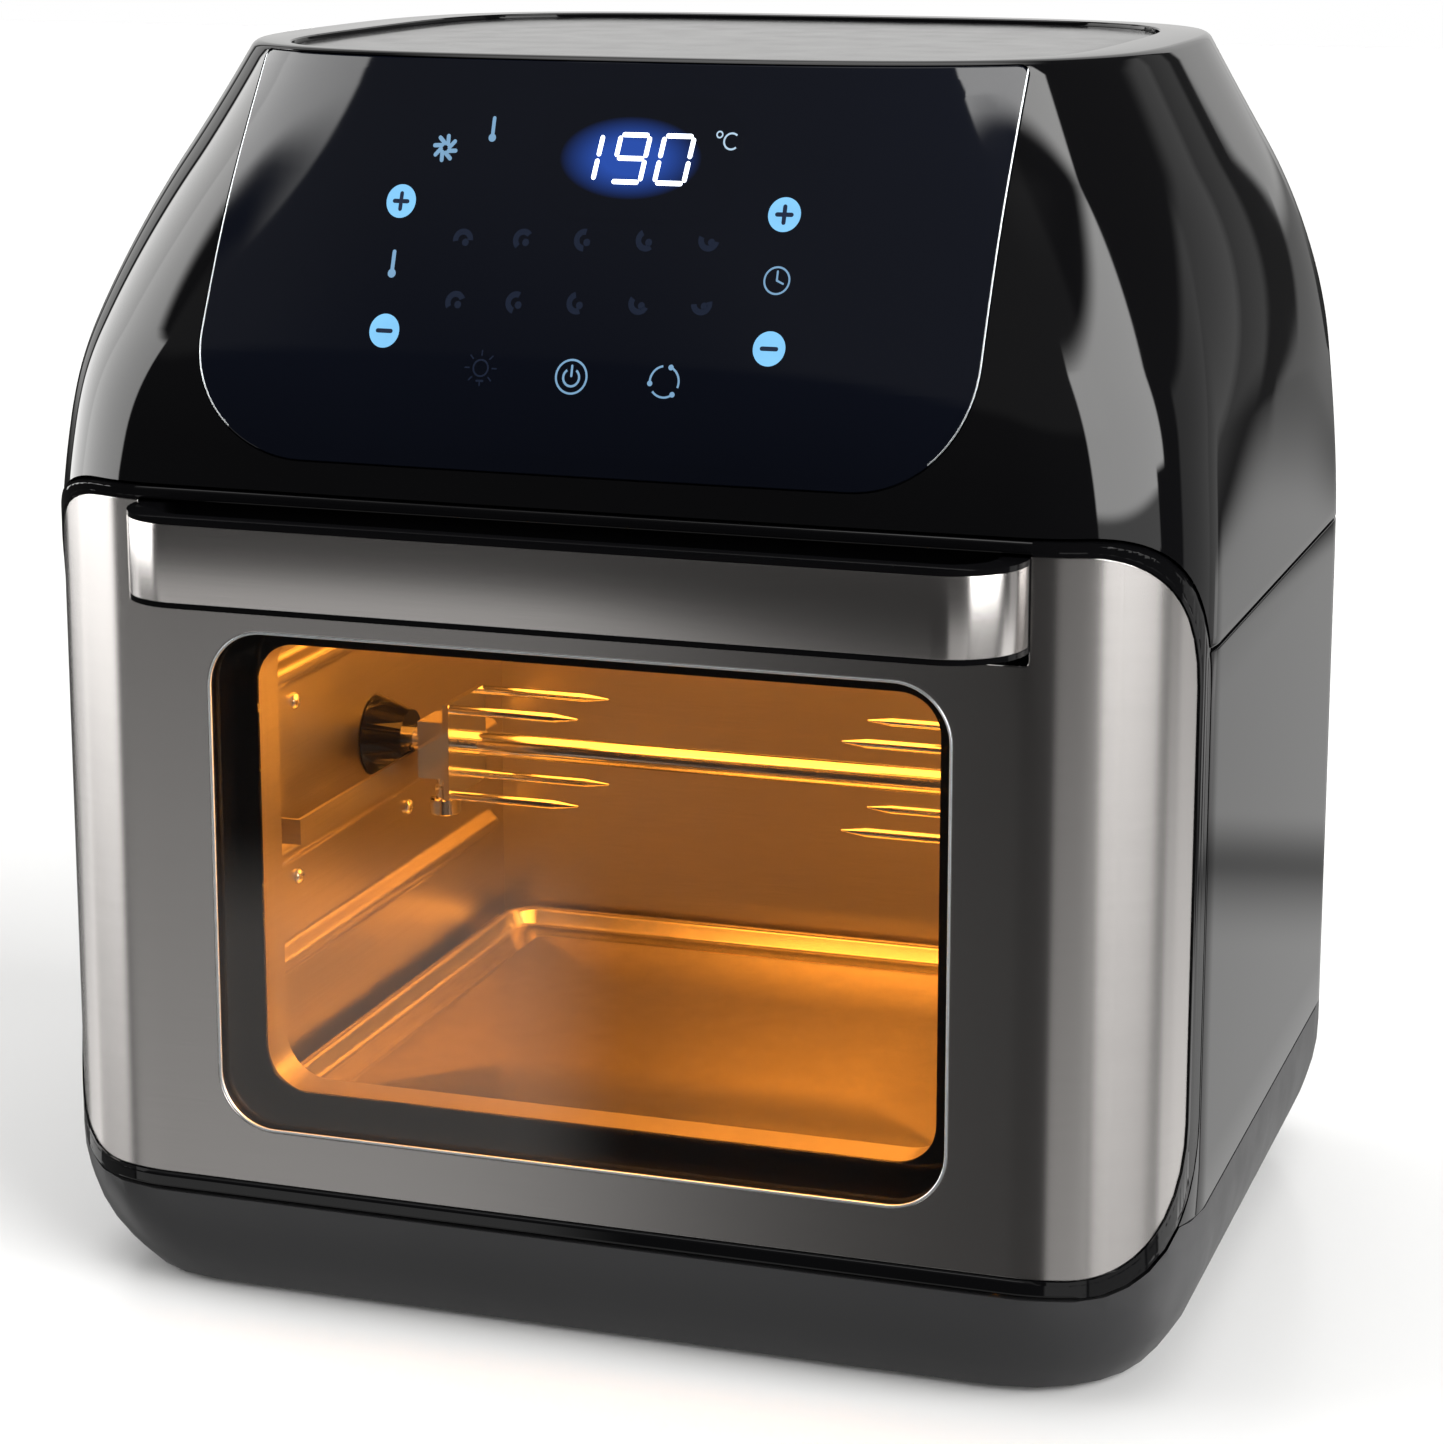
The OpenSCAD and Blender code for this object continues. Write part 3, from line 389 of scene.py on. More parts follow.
class Maker:
    """A Principled material and the few node recipes that the materials share."""

    def __init__(self, name, colour, roughness, metallic=0.0, **fixed):
        self.mat = bpy.data.materials.new(name)
        self.mat.use_nodes = True
        self.tree = self.mat.node_tree
        self.bsdf = self.tree.nodes["Principled BSDF"]
        self.colour = colour
        self.bsdf.inputs["Base Color"].default_value = (*colour, 1)
        self.bsdf.inputs["Roughness"].default_value = roughness
        self.bsdf.inputs["Metallic"].default_value = metallic
        for key, value in fixed.items():
            self.bsdf.inputs[key.replace("_", " ")].default_value = value

    def node(self, kind, **settings):
        made = self.tree.nodes.new(kind)
        for key, value in settings.items():
            setattr(made, key, value)
        return made

    def link(self, a, b):
        self.tree.links.new(a, b)

    def noise(self, scale, stretch=(1, 1, 1), detail=3.0, shift=0.0):
        """Noise in the piece's own coordinates, in metres."""
        coords = self.node("ShaderNodeTexCoord")
        mapping = self.node("ShaderNodeMapping")
        mapping.inputs["Scale"].default_value = stretch
        mapping.inputs["Location"].default_value = (shift, shift, shift)
        made = self.node("ShaderNodeTexNoise")
        made.inputs["Scale"].default_value = scale
        made.inputs["Detail"].default_value = detail
        self.link(coords.outputs["Object"], mapping.inputs["Vector"])
        self.link(mapping.outputs["Vector"], made.inputs["Vector"])
        return made.outputs["Fac"]

    def spread(self, value, low, high, from_low=0.3, from_high=0.7):
        made = self.node("ShaderNodeMapRange")
        made.inputs["From Min"].default_value = from_low
        made.inputs["From Max"].default_value = from_high
        made.inputs["To Min"].default_value = low
        made.inputs["To Max"].default_value = high
        self.link(value, made.inputs["Value"])
        return made.outputs["Result"]

    def tint(self, value, low, high):
        """Colour that runs from low to high times the material's colour."""
        made = self.node("ShaderNodeMix", data_type="RGBA")
        factors = {"A": low, "B": high}
        for socket in made.inputs:
            if socket.type == "RGBA" and socket.name in factors:
                factor = factors[socket.name]
                socket.default_value = (*[c * factor for c in self.colour], 1)
        self.link(value, made.inputs["Factor"])
        self.link(made.outputs[2], self.bsdf.inputs["Base Color"])

    def rough(self, value, low, high):
        self.link(self.spread(value, low, high), self.bsdf.inputs["Roughness"])

    def bump(self, value, height):
        """Height in millimetres."""
        made = self.node("ShaderNodeBump")
        made.inputs["Strength"].default_value = 1.0
        made.inputs["Distance"].default_value = height * MM
        self.link(value, made.inputs["Height"])
        self.link(made.outputs["Normal"], self.bsdf.inputs["Normal"])


def moulded(name, colour, roughness, spread, grain, height, **fixed):
    """Moulded plastic or rubber: colour drift, uneven gloss and a fine skin."""
    made = Maker(name, colour, roughness, **fixed)
    made.tint(made.noise(9, detail=2), 0.85, 1.18)
    made.rough(made.noise(60, shift=3), roughness - spread, roughness + spread)
    made.bump(made.noise(grain, shift=7, detail=2), height)
    return made.mat


def brushed(name, colour, roughness, stretch, aniso, turn=0.0, height=0.004, contrast=0.10):
    """Brushed metal: fine lines across the stretch, with gloss along them."""
    made = Maker(name, colour, roughness, metallic=1.0, Anisotropic=aniso)
    lines = made.noise(30, stretch=stretch, detail=8)
    made.tint(lines, 1 - contrast, 1 + contrast)
    made.rough(made.noise(22, stretch=stretch, detail=6, shift=5), roughness - 0.008, roughness + 0.008)
    made.bump(lines, height)
    if aniso:
        tangent = made.node("ShaderNodeTangent", direction_type="RADIAL", axis="Z")
        made.bsdf.inputs["Anisotropic Rotation"].default_value = turn
        made.link(tangent.outputs["Tangent"], made.bsdf.inputs["Tangent"])
    return made.mat


def metal(name, colour, roughness, grain=300, height=0.004, spread=0.07):
    """Plain metal with faint stains and a fine uneven skin."""
    made = Maker(name, colour, roughness, metallic=1.0)
    made.tint(made.noise(25, detail=4), 0.86, 1.1)
    made.rough(made.noise(70, shift=2, detail=5), roughness - spread, roughness + spread)
    made.bump(made.noise(grain, shift=6), height)
    return made.mat


def glass(name, colour, roughness=0.0):
    made = Maker(name, colour, roughness, IOR=1.45)
    made.bsdf.inputs["Transmission Weight"].default_value = 1.0
    made.tint(made.noise(5, detail=1), 0.985, 1.0)
    return made.mat


def lit(name, colour, strength, base=(0.05, 0.07, 0.1)):
    """A printed or lit mark behind the panel's glass."""
    made = Maker(name, base, 0.25)
    made.tint(made.noise(300), 0.9, 1.1)
    made.bsdf.inputs["Emission Color"].default_value = (*colour, 1)
    glow = made.spread(made.noise(120, shift=4), strength * 0.94, strength * 1.06)
    made.link(glow, made.bsdf.inputs["Emission Strength"])
    return made.mat


def circuit(name):
    """Circuit board: green lacquer with fine copper lines and pads."""
    made = Maker(name, (0.012, 0.10, 0.035), 0.38)
    coords = made.node("ShaderNodeTexCoord")
    brick = made.node("ShaderNodeTexBrick", offset=0.5)
    brick.inputs["Color1"].default_value = (0.012, 0.10, 0.035, 1)
    brick.inputs["Color2"].default_value = (0.016, 0.13, 0.045, 1)
    brick.inputs["Mortar"].default_value = (0.05, 0.22, 0.08, 1)
    brick.inputs["Scale"].default_value = 90
    brick.inputs["Mortar Size"].default_value = 0.03
    made.link(coords.outputs["Object"], brick.inputs["Vector"])
    made.link(brick.outputs["Color"], made.bsdf.inputs["Base Color"])
    made.bump(made.noise(700), 0.02)
    return made.mat


PANEL_COLOUR = (0.0030, 0.0040, 0.0082)
GLOSS = moulded("gloss_black", (0.0035, 0.0035, 0.004), 0.03, 0.01, 90, 0.0003, IOR=1.46)
SATIN = moulded("satin_black", (0.043, 0.043, 0.045), 0.40, 0.04, 2600, 0.012)
TOP_GLOSS = moulded("top_gloss", (0.012, 0.012, 0.013), 0.13, 0.02, 90, 0.001, IOR=1.46)
PANEL = moulded("panel_glass", PANEL_COLOUR, 0.05, 0.01, 60, 0.0002, IOR=1.45)
RUBBER = moulded("rubber", (0.020, 0.019, 0.018), 0.62, 0.06, 1800, 0.02)
RED = moulded("red_plastic", (0.45, 0.03, 0.02), 0.35, 0.05, 900, 0.005)
CERAMIC = moulded("ceramic", (0.72, 0.70, 0.66), 0.45, 0.08, 1200, 0.01)
STEEL = brushed("brushed_steel", (0.60, 0.575, 0.56), 0.25, (1.6, 1.6, 170), 0.9, 0.25, 0.0002, 0.045)
# The panel's thin light outline, and the window's cut edge, where the paler steel is a painted highlight.
TRIM_AND_EDGE_HIGHLIGHT = brushed("light_trim_and_edge_highlight", (0.86, 0.90, 0.92), 0.42, (0.35, 0.35, 130), 0.0, height=0.001)
OVEN = brushed("oven_steel", (0.57, 0.52, 0.45), 0.34, (3, 0.5, 60), 0.0, height=0.003)
TRAY = brushed("tray_metal", (0.60, 0.56, 0.50), 0.24, (4, 4, 4), 0.0, height=0.002)
CHROME = metal("chrome", (0.80, 0.80, 0.79), 0.13, spread=0.04)
ZINC = metal("zinc_steel", (0.58, 0.59, 0.60), 0.36)
ALUMINIUM = metal("fan_aluminium", (0.74, 0.75, 0.76), 0.32)
ELEMENT = metal("element_tube", (0.20, 0.17, 0.15), 0.45, grain=900, height=0.02)
BRASS = metal("spring_brass", (0.72, 0.52, 0.22), 0.28)
GLASS_DARK = glass("smoked_glass", (0.84, 0.76, 0.68))
GLASS_CLEAR = glass("clear_glass", (0.97, 0.95, 0.93))
BOARD = circuit("circuit_board")
BULB = lit("lamp_bulb", (1.0, 0.62, 0.26), 14.0, base=(0.9, 0.8, 0.6))
DIGITS = lit("lit_white", (0.78, 0.86, 1.0), 3.2)
DEGREE = lit("lit_pale", (0.50, 0.68, 0.84), 0.9)
BUTTONS = lit("lit_blue", (0.20, 0.56, 0.90), 1.0)


def halo(name, colour, strength, centre, size):
    """Light that fades away from centre, in metres, over size each way."""
    made = Maker(name, PANEL_COLOUR, 0.05, IOR=1.45)
    coords = made.node("ShaderNodeTexCoord")
    mapping = made.node("ShaderNodeMapping", vector_type="TEXTURE")
    mapping.inputs["Location"].default_value = centre
    mapping.inputs["Scale"].default_value = size
    ball = made.node("ShaderNodeTexGradient", gradient_type="SPHERICAL")
    made.link(coords.outputs["Object"], mapping.inputs["Vector"])
    made.link(mapping.outputs["Vector"], ball.inputs["Vector"])
    made.bsdf.inputs["Emission Color"].default_value = (*colour, 1)
    glow = made.spread(ball.outputs["Fac"], 0.0, strength, 0.0, 0.6)
    made.link(glow, made.bsdf.inputs["Emission Strength"])
    return made.mat


GLOW = halo("lit_glow", (0.03, 0.12, 0.66), 0.6, (0.0105, -0.1105, 0.3405), (0.0205, 0.05, 0.0110))
MARKS = lit("lit_marks", (0.26, 0.52, 0.80), 0.62)
FAINT = lit("lit_faint", (0.035, 0.055, 0.11), 0.17, base=(0.004, 0.006, 0.014))
SIGNS = moulded("button_signs", (0.01, 0.02, 0.05), 0.3, 0.05, 500, 0.001)

NODE_LOOKS = {
    "bottom_cover": SATIN,
    "feet": RUBBER,
    "side_shell_left": GLOSS,
    "side_shell_right": GLOSS,
    "back_panel": SATIN,
    "rear_vent": SATIN,
    "control_board": BOARD,
    "display_module": CERAMIC,
    "touch_springs": BRASS,
    "cavity_back_wall": OVEN,
    "cavity_floor": OVEN,
    "cavity_ceiling": OVEN,
    "front_flange": OVEN,
    "door_seal": RUBBER,
    "heat_shield": ZINC,
    "heating_element": ELEMENT,
    "fan_guard": CHROME,
    "fan_motor": ZINC,
    "motor_bracket": ZINC,
    "lamp_holder": CERAMIC,
    "oven_lamp": BULB,
    "lamp_lens": GLASS_CLEAR,
    "temperature_sensor": CHROME,
    "thermal_fuse": CERAMIC,
    "rotisserie_motor": ZINC,
    "support_rail_left": OVEN,
    "support_rail_right": OVEN,
    "power_board": BOARD,
    "cord_gland": RUBBER,
    "hinge_brackets": ZINC,
    "hinge_pins": CHROME,
    "door_switch": SATIN,
    "housing_screws": ZINC,
    "motor_shaft": CHROME,
    "convection_fan": ALUMINIUM,
    "fan_nut": ZINC,
    "cooling_fan": ALUMINIUM,
    "drive_socket": GLOSS,
    "spit_rod": CHROME,
    "fork_left": CHROME,
    "thumb_screw_left": CHROME,
    "fork_right": CHROME,
    "thumb_screw_right": CHROME,
    "switch_plunger": RED,
    "door_frame": GLOSS,
    "outer_glass": GLASS_DARK,
    "inner_glass": GLASS_CLEAR,
    "glass_seal": RUBBER,
    "door_liner": OVEN,
    "handle_grip": GLOSS,
    "cavity_screws": CHROME,
    "cavity_left_wall": OVEN,
    "cavity_right_wall": OVEN,
    "drip_tray": TRAY,
    "base_housing": SATIN,
    "upper_hood": GLOSS,
    "top_plate": TOP_GLOSS,
    "control_panel": PANEL,
    "door_skin": STEEL,
    "handle_cover": STEEL,
}


def smooth_by_angle():
    """A modifier that shades smooth up to 32 degrees, for meshes that must not be edited."""
    group = bpy.data.node_groups.new("smooth_by_angle", "GeometryNodeTree")
    group.is_modifier = True
    group.interface.new_socket("Geometry", in_out="INPUT", socket_type="NodeSocketGeometry")
    group.interface.new_socket("Geometry", in_out="OUTPUT", socket_type="NodeSocketGeometry")
    start = group.nodes.new("NodeGroupInput")
    end = group.nodes.new("NodeGroupOutput")
    angle = group.nodes.new("GeometryNodeInputMeshEdgeAngle")
    small = group.nodes.new("FunctionNodeCompare")
    small.operation = "LESS_THAN"
    small.inputs[1].default_value = math.radians(32)
    faces = group.nodes.new("GeometryNodeSetShadeSmooth")
    faces.domain = "FACE"
    edges = group.nodes.new("GeometryNodeSetShadeSmooth")
    edges.domain = "EDGE"
    link = group.links.new
    link(start.outputs[0], faces.inputs[0])
    link(faces.outputs[0], edges.inputs[0])
    link(angle.outputs["Unsigned Angle"], small.inputs[0])
    link(small.outputs["Result"], edges.inputs["Shade Smooth"])
    link(edges.outputs[0], end.inputs[0])
    return group


SMOOTH = smooth_by_angle()


def dress_nodes():
    """Material and smooth shading for every CAD node. Light falls through the door's panes."""
    for name in ("outer_glass", "inner_glass", "lamp_lens"):
        nodes[name].visible_shadow = False
    for name, obj in nodes.items():
        mesh = obj.data
        mesh.materials.clear()
        mesh.materials.append(NODE_LOOKS[name])
        if "custom_normal" in mesh.attributes:
            mesh.attributes.remove(mesh.attributes["custom_normal"])
        weld = obj.modifiers.new("weld", "WELD")
        weld.merge_threshold = 2e-6
        tool = obj.modifiers.new("smooth", "NODES")
        tool.node_group = SMOOTH


# ---- Casing -----------------------------------------------------------------


def lip(z0, z1, r0, r1, steps, inset=0.0):
    """Levels from z0 to z1 with their insets, rounded at each end."""
    levels = []
    for k in range(5):
        t = math.pi / 2 * k / 4
        levels.append((z0 + r0 * (1 - math.cos(t)), inset + r0 * (1 - math.sin(t))))
    for k in range(1, steps):
        levels.append((z0 + r0 + (z1 - z0 - r0 - r1) * k / steps, inset))
    for k in range(5):
        t = math.pi / 2 * k / 4
        levels.append((z1 - r1 * (1 - math.sin(t)), inset + r1 * (1 - math.cos(t))))
    return levels


def make_hood():
    """The glossy hood: one wall, open below, with the recess for the top plate."""
    rings = [hood_ring(z, i) for z, i in lip(HOOD_SEAM, BODY_H, 0.8, 1.6, 64)]
    rings += [top_ring(1.0, BODY_H), top_ring(0.6, BODY_H - 0.4), top_ring(0.6, BODY_H - 4)]
    rings += [top_ring(-8, BODY_H - 4), top_ring(-8, BODY_H - 6)]
    inner = [hood_ring(HOOD_SEAM + (BODY_H - 6 - HOOD_SEAM) * k / 24, 3) for k in range(25)]
    obj = loft("hood_shell", rings + inner[::-1], closed=True)
    cut(obj, door_cutter(0.8))
    cut(obj, panel_pocket())
    shade(obj)
    place(obj, "cabinet", "gloss_black_plastic", GLOSS, "upper_hood")


def panel_pocket():
    """The panel's opening: a shallow recess that follows the hood's front."""
    cutter = prism("cutter", panel_outline(0.35), FRONT_Y - 20, FRONT_Y + 70)
    core = loft("core", [hood_ring(z, 2.7) for z in np.arange(PANEL_Z[0] - 6, BODY_H + 1, 3.0)])
    return cut(cutter, core)


def make_side_shell(side, node):
    """A glossy side wall. Its front edge follows the door's round corner."""
    rings = [hood_ring(z, i) for z, i in lip(SHELL_Z[0], SHELL_Z[1], 0.4, 0.4, 12)]
    inner = [hood_ring(SHELL_Z[0] + (SHELL_Z[1] - SHELL_Z[0]) * k / 8, 2.5) for k in range(9)]
    obj = loft(node + "_wall", rings + inner[::-1], closed=True)
    cut(obj, door_cutter(0.8))
    inside, far = side * SHELL_X, side * -200
    rest = [(inside, -200), (far, -200), (far, 200), (inside, 200)]
    cut(obj, prism("cutter", rest, 30, 230, "Z"))
    shade(obj)
    place(obj, "cabinet", "gloss_black_plastic", GLOSS, node)


def make_top_plate():
    """The gloss plate let into the top, slightly crowned."""
    low = BODY_H - 4
    rings = [top_ring(-0.8, low + 0.05), top_ring(-0.05, low + 0.6), top_ring(0, low + 1.6)]
    rings += [top_ring(-0.4, low + 2.3), top_ring(-1.2, low + 2.6)]
    for shrink in (10, 25, 45, 65, 85, 98):
        rings.append(top_ring(-shrink, low + 2.6 + 0.2 * shrink / 98))
    obj = shade(loft("top_cover", rings), 40)
    place(obj, "cabinet", "top_gloss_plastic", TOP_GLOSS, "top_plate")


def panel_outline(grow):
    """Straight sides, round lower corners and a nearly square top edge."""
    r = PANEL_R + grow
    w, low, high = PANEL_HALF + grow, PANEL_Z[0] - grow, PANEL_Z[1] + grow
    return (
        arc(w - r, low + r, r, -90, 0, 20)
        + arc(w - 3, high - 3, 3, 0, 90, 6)
        + arc(3 - w, high - 3, 3, 90, 180, 6)
        + arc(r - w, low + r, r, 180, 270, 20)
    )


def bend_to_hood(u, v, w, inset):
    """A plate point to the hood's front, sunk by inset. The plate's face looks along -w."""
    return u, hood_front(u, v, inset) + w, v


def side_line(side):
    """A thin line along one side of the panel, down to its round corner."""
    high = PANEL_Z[1] - 0.3
    lines = []
    for sink in (0.1, 0.5):
        line = [p for p in panel_outline(-sink) if p[0] * side > PANEL_HALF - 14 and p[1] < high - 3]
        end = (side * (PANEL_HALF - sink), high)
        lines.append([*line, end] if side > 0 else [end, *line])
    return lines[0] + lines[1][::-1]


def make_panel():
    """The dark glass panel, flush with the hood, and its thin light outline."""
    plate = flat_plate([panel_outline(0)], 2.4, 0.35)
    slice_plate(plate, 0, np.arange(-112, 112.1, 4))
    slice_plate(plate, 1, np.arange(PANEL_Z[0] + 2, PANEL_Z[1], 4))
    obj = from_plate("panel_glass", plate, lambda u, v, w: bend_to_hood(u, v, w + 1.2, 0.15))
    shade(obj, 8)
    place(obj, "cabinet", "panel_dark_blue", PANEL, "control_panel")
    trim = flat_plate([side_line(-1), side_line(1)], 0.3, 0.1)
    slice_plate(trim, 0, np.arange(-112, 112.1, 4))
    slice_plate(trim, 1, np.arange(PANEL_Z[0] + 2, PANEL_Z[1], 4))
    obj = from_plate("panel_outline", trim, lambda u, v, w: bend_to_hood(u, v, w + 0.05, 0.15))
    shade(obj)
    place(obj, "cabinet", "bright_chrome", TRIM_AND_EDGE_HIGHLIGHT)


# ---- Marks on the panel -----------------------------------------------------


def disc(cx, cz, r, steps=40):
    return arc(cx, cz, r, 0, 360 - 360 / steps, steps - 1)


def bar(x0, z0, x1, z1, width, steps=5):
    """A line with round ends."""
    a = math.degrees(math.atan2(z1 - z0, x1 - x0))
    return arc(x0, z0, width / 2, a + 90, a + 270, steps) + arc(x1, z1, width / 2, a - 90, a + 90, steps)


def swept(cx, cz, r, width, a0, a1, steps=28):
    """Part of a ring."""
    return arc(cx, cz, r + width / 2, a0, a1, steps) + arc(cx, cz, r - width / 2, a1, a0, steps)


def marks(name, shapes, material, lift, slot="lamp_bulb"):
    """Thin marks on the panel's glass. A shape is one outline, or an outer and an inner one."""
    parts = []
    for shape in shapes:
        loops = [shape] if isinstance(shape[0][0], float) else shape
        rings = []
        for depth in (0.0, lift):
            for loop in loops:
                rings.append([(x, hood_front(x, z, 0.15) - depth - 0.01, z) for x, z in loop])
        if len(loops) == 2:
            parts.append(loft("part", [rings[0], rings[1], rings[3], rings[2]], closed=True))
        else:
            parts.append(loft("part", rings))
    obj = join(name, parts)
    place(obj, "cabinet", slot, material)
    return obj


SEGMENTS = {
    "a": (0, 2, 1, 2),
    "b": (1, 2, 1, 1),
    "c": (1, 1, 1, 0),
    "d": (0, 0, 1, 0),
    "e": (0, 0, 0, 1),
    "f": (0, 1, 0, 2),
    "g": (0, 1, 1, 1),
}


BUTTON_X = 55.8
DIGIT_Z, DIGIT_W, DIGIT_H = 334.2, 8.4, 6.2


def digit(which, x, z, width, half_h, thick):
    """The lit bars of one digit, leaning to the right."""
    out = []
    for key in which:
        x0, z0, x1, z1 = SEGMENTS[key]
        length = math.hypot((x1 - x0) * width, (z1 - z0) * half_h)
        gap = (thick * 0.72) / length
        ends = []
        for t in (gap, 1 - gap):
            u = (x0 + (x1 - x0) * t) * width
            v = (z0 + (z1 - z0) * t) * half_h
            ends += [x + u + v * 0.13, z + v]
        out.append(bar(*ends, thick))
    return out


def thermometer(x, z, h):
    stem = bar(x, z - h * 0.2, x, z + h * 0.5, h * 0.16)
    return [stem, disc(x, z - h * 0.32, h * 0.17)]


def make_marks():
    """Digits, buttons and small signs. The dish signs are plain generic shapes."""
    number = digit("bc", -8.0, DIGIT_Z, DIGIT_W, DIGIT_H, 1.3)
    number += digit("abcdfg", 5.6, DIGIT_Z, DIGIT_W, DIGIT_H, 1.3)
    number += digit("abcdef", 18.2, DIGIT_Z, DIGIT_W, DIGIT_H, 1.3)
    marks("panel_digits", number, DIGITS, 0.06)
    degree = [[disc(35.3, 347.3, 1.0), disc(35.3, 347.3, 0.6)], swept(38.8, 345.6, 2.1, 0.5, 48, 312)]
    marks("panel_degree", degree, DEGREE, 0.05)
    plus = [(-BUTTON_X, 327.0), (BUTTON_X, 327.0)]
    minus = [(-BUTTON_X, 292.5), (BUTTON_X, 292.5)]
    marks("panel_buttons", [disc(x, z, 4.5) for x, z in plus + minus], BUTTONS, 0.05)
    signs = [bar(x - 2.0, z, x + 2.0, z, 1.15) for x, z in plus + minus]
    signs += [bar(x, z - 2.1, x, z - 0.7, 1.15) for x, z in plus]
    signs += [bar(x, z + 0.7, x, z + 2.1, 1.15) for x, z in plus]
    marks("panel_signs", signs, SIGNS, 0.09, "panel_dark_blue")
    small = []
    for k in range(8):
        a = k * 45.0 + 10
        c, s = math.cos(math.radians(a)), math.sin(math.radians(a))
        c2, s2 = math.cos(math.radians(a + 24)), math.sin(math.radians(a + 24))
        small.append(bar(-44.4 + 1.3 * c, 341.6 + 1.3 * s, -44.4 + 3.3 * c2, 341.6 + 3.3 * s2, 1.15))
    small += thermometer(-30.6, 346.8, 6.4) + thermometer(-BUTTON_X, 310.0, 7.0)
    small.append([disc(BUTTON_X, 310.0, 3.7), disc(BUTTON_X, 310.0, 3.2)])
    small += [bar(BUTTON_X, 310.0, BUTTON_X, 312.4, 0.5), bar(BUTTON_X, 310.0, BUTTON_X + 1.8, 309.2, 0.5)]
    small.append([disc(0.8, 282.9, 4.7), disc(0.8, 282.9, 4.15)])
    small += [swept(0.8, 282.7, 2.3, 0.6, 125, 415), bar(0.8, 283.1, 0.8, 285.8, 0.6)]
    for k in range(3):
        small.append(swept(27.5, 282.8, 4.1, 0.55, 100 + 120 * k, 185 + 120 * k, 12))
        a = math.radians(188 + 120 * k)
        small.append(disc(27.5 + 4.1 * math.cos(a), 282.8 + 4.1 * math.sin(a), 0.75, 12))
    marks("panel_icons", small, MARKS, 0.05)
    faint = [[disc(-25.8, 284.0, 2.4), disc(-25.8, 284.0, 1.9)], bar(-26.7, 280.6, -24.9, 280.6, 0.6)]
    for k in range(8):
        a = math.radians(45 * k)
        faint.append(bar(-25.8 + 3.4 * math.cos(a), 284 + 3.4 * math.sin(a),
                         -25.8 + 4.6 * math.cos(a), 284 + 4.6 * math.sin(a), 0.4))
    for k in range(5):
        for z in (318.6, 302.1):
            x, z = -35.6 + 17.8 * k, z + 0.6 * (k - 2)
            turn = 40.0 * k + (25.0 if z < 310 else 0.0)
            faint.append(swept(x, z, 2.2, 1.6, turn, turn + 190, 16))
            faint.append(disc(x + 0.8, z - 0.6, 1.0, 16))
    marks("panel_faint_icons", faint, FAINT, 0.04)
    plate = flat_plate([rounded(-15.0, 324.0, 42.0, 357.0, 12)], 0.04, 0.0)
    slice_plate(plate, 0, np.arange(-14, 42, 4))
    slice_plate(plate, 1, np.arange(326, 357, 4))
    glow = from_plate("panel_glow", plate, lambda u, v, w: bend_to_hood(u, v, w - 0.03, 0.15))
    place(glow, "cabinet", "lamp_bulb", GLOW)


# ---- Door -------------------------------------------------------------------


def make_skin():
    """The brushed steel skin: bent round the corners, with the window and the handle's notch."""
    outer = rounded(-SKIN_EDGE, SKIN_Z[0], SKIN_EDGE, SKIN_Z[1], SKIN_CORNER, 22)
    notch = [(NOTCH_HALF, SKIN_Z[1]), *arc(NOTCH_HALF - 1.5, NOTCH_Z + 1.5, 1.5, 0, -90, 4)]
    notch += [*arc(1.5 - NOTCH_HALF, NOTCH_Z + 1.5, 1.5, -90, -180, 4), (-NOTCH_HALF, SKIN_Z[1])]
    top = next(k for k, p in enumerate(outer) if p[0] < 0 and p[1] > 200)
    outline = outer[:top] + notch + outer[top:]
    window = rounded(-WINDOW_HALF, WINDOW_Z[0], WINDOW_HALF, WINDOW_Z[1], WINDOW_R, 14)
    plate = flat_plate([outline, window], 0.8, 0.3)
    for side in (-1, 1):
        slice_plate(plate, 0, [side * s for s in np.arange(126, SKIN_EDGE, 1.5)])
    obj = from_plate("door_face", plate, lambda u, v, w: on_door(u, v, w + 0.4 + SKIN_SINK))
    shade(obj, 8)
    place(obj, "door", "brushed_stainless", STEEL, "door_skin")


def make_door_border():
    """The gloss border round the steel skin, bent round the door's corners."""
    edge, low, high = SKIN_EDGE + 6.2, SKIN_Z[0] - BORDER + 0.1, SKIN_Z[1] + BORDER - 1.1
    outer = rounded(-edge, low, edge, high, SKIN_CORNER + BORDER, 24)
    g = 0.4
    inner = rounded(-SKIN_EDGE - g, SKIN_Z[0] - g, SKIN_EDGE + g, SKIN_Z[1] + g, SKIN_CORNER + g, 24)
    plate = flat_plate([outer, inner], 2.0, 0.8)
    for side in (-1, 1):
        slice_plate(plate, 0, [side * s for s in np.arange(126, SKIN_EDGE + 6, 1.5)])
    obj = from_plate("door_border", plate, lambda u, v, w: on_door(u, v, w + 1.0))
    shade(obj)
    place(obj, "door", "gloss_black_plastic", GLOSS)


def make_window_edge_highlight():
    """The cut edge round the window, in a paler steel than the skin's: a painted highlight along the edge.
    """
    outer = rounded(-WINDOW_HALF, WINDOW_Z[0], WINDOW_HALF, WINDOW_Z[1], WINDOW_R, 14)
    g = 0.75
    inner = rounded(g - WINDOW_HALF, WINDOW_Z[0] + g, WINDOW_HALF - g, WINDOW_Z[1] - g, WINDOW_R - g, 14)
    plate = flat_plate([outer, inner], 0.9, 0.3)
    obj = from_plate("window_edge_highlight", plate, lambda u, v, w: (u, FRONT_Y + SKIN_SINK + 0.4 + w, v))
    shade(obj, 25)
    place(obj, "door", "bright_chrome", TRIM_AND_EDGE_HIGHLIGHT)


HANDLE_OUT = 22.0
HANDLE_Z = (217.81, 239.99)


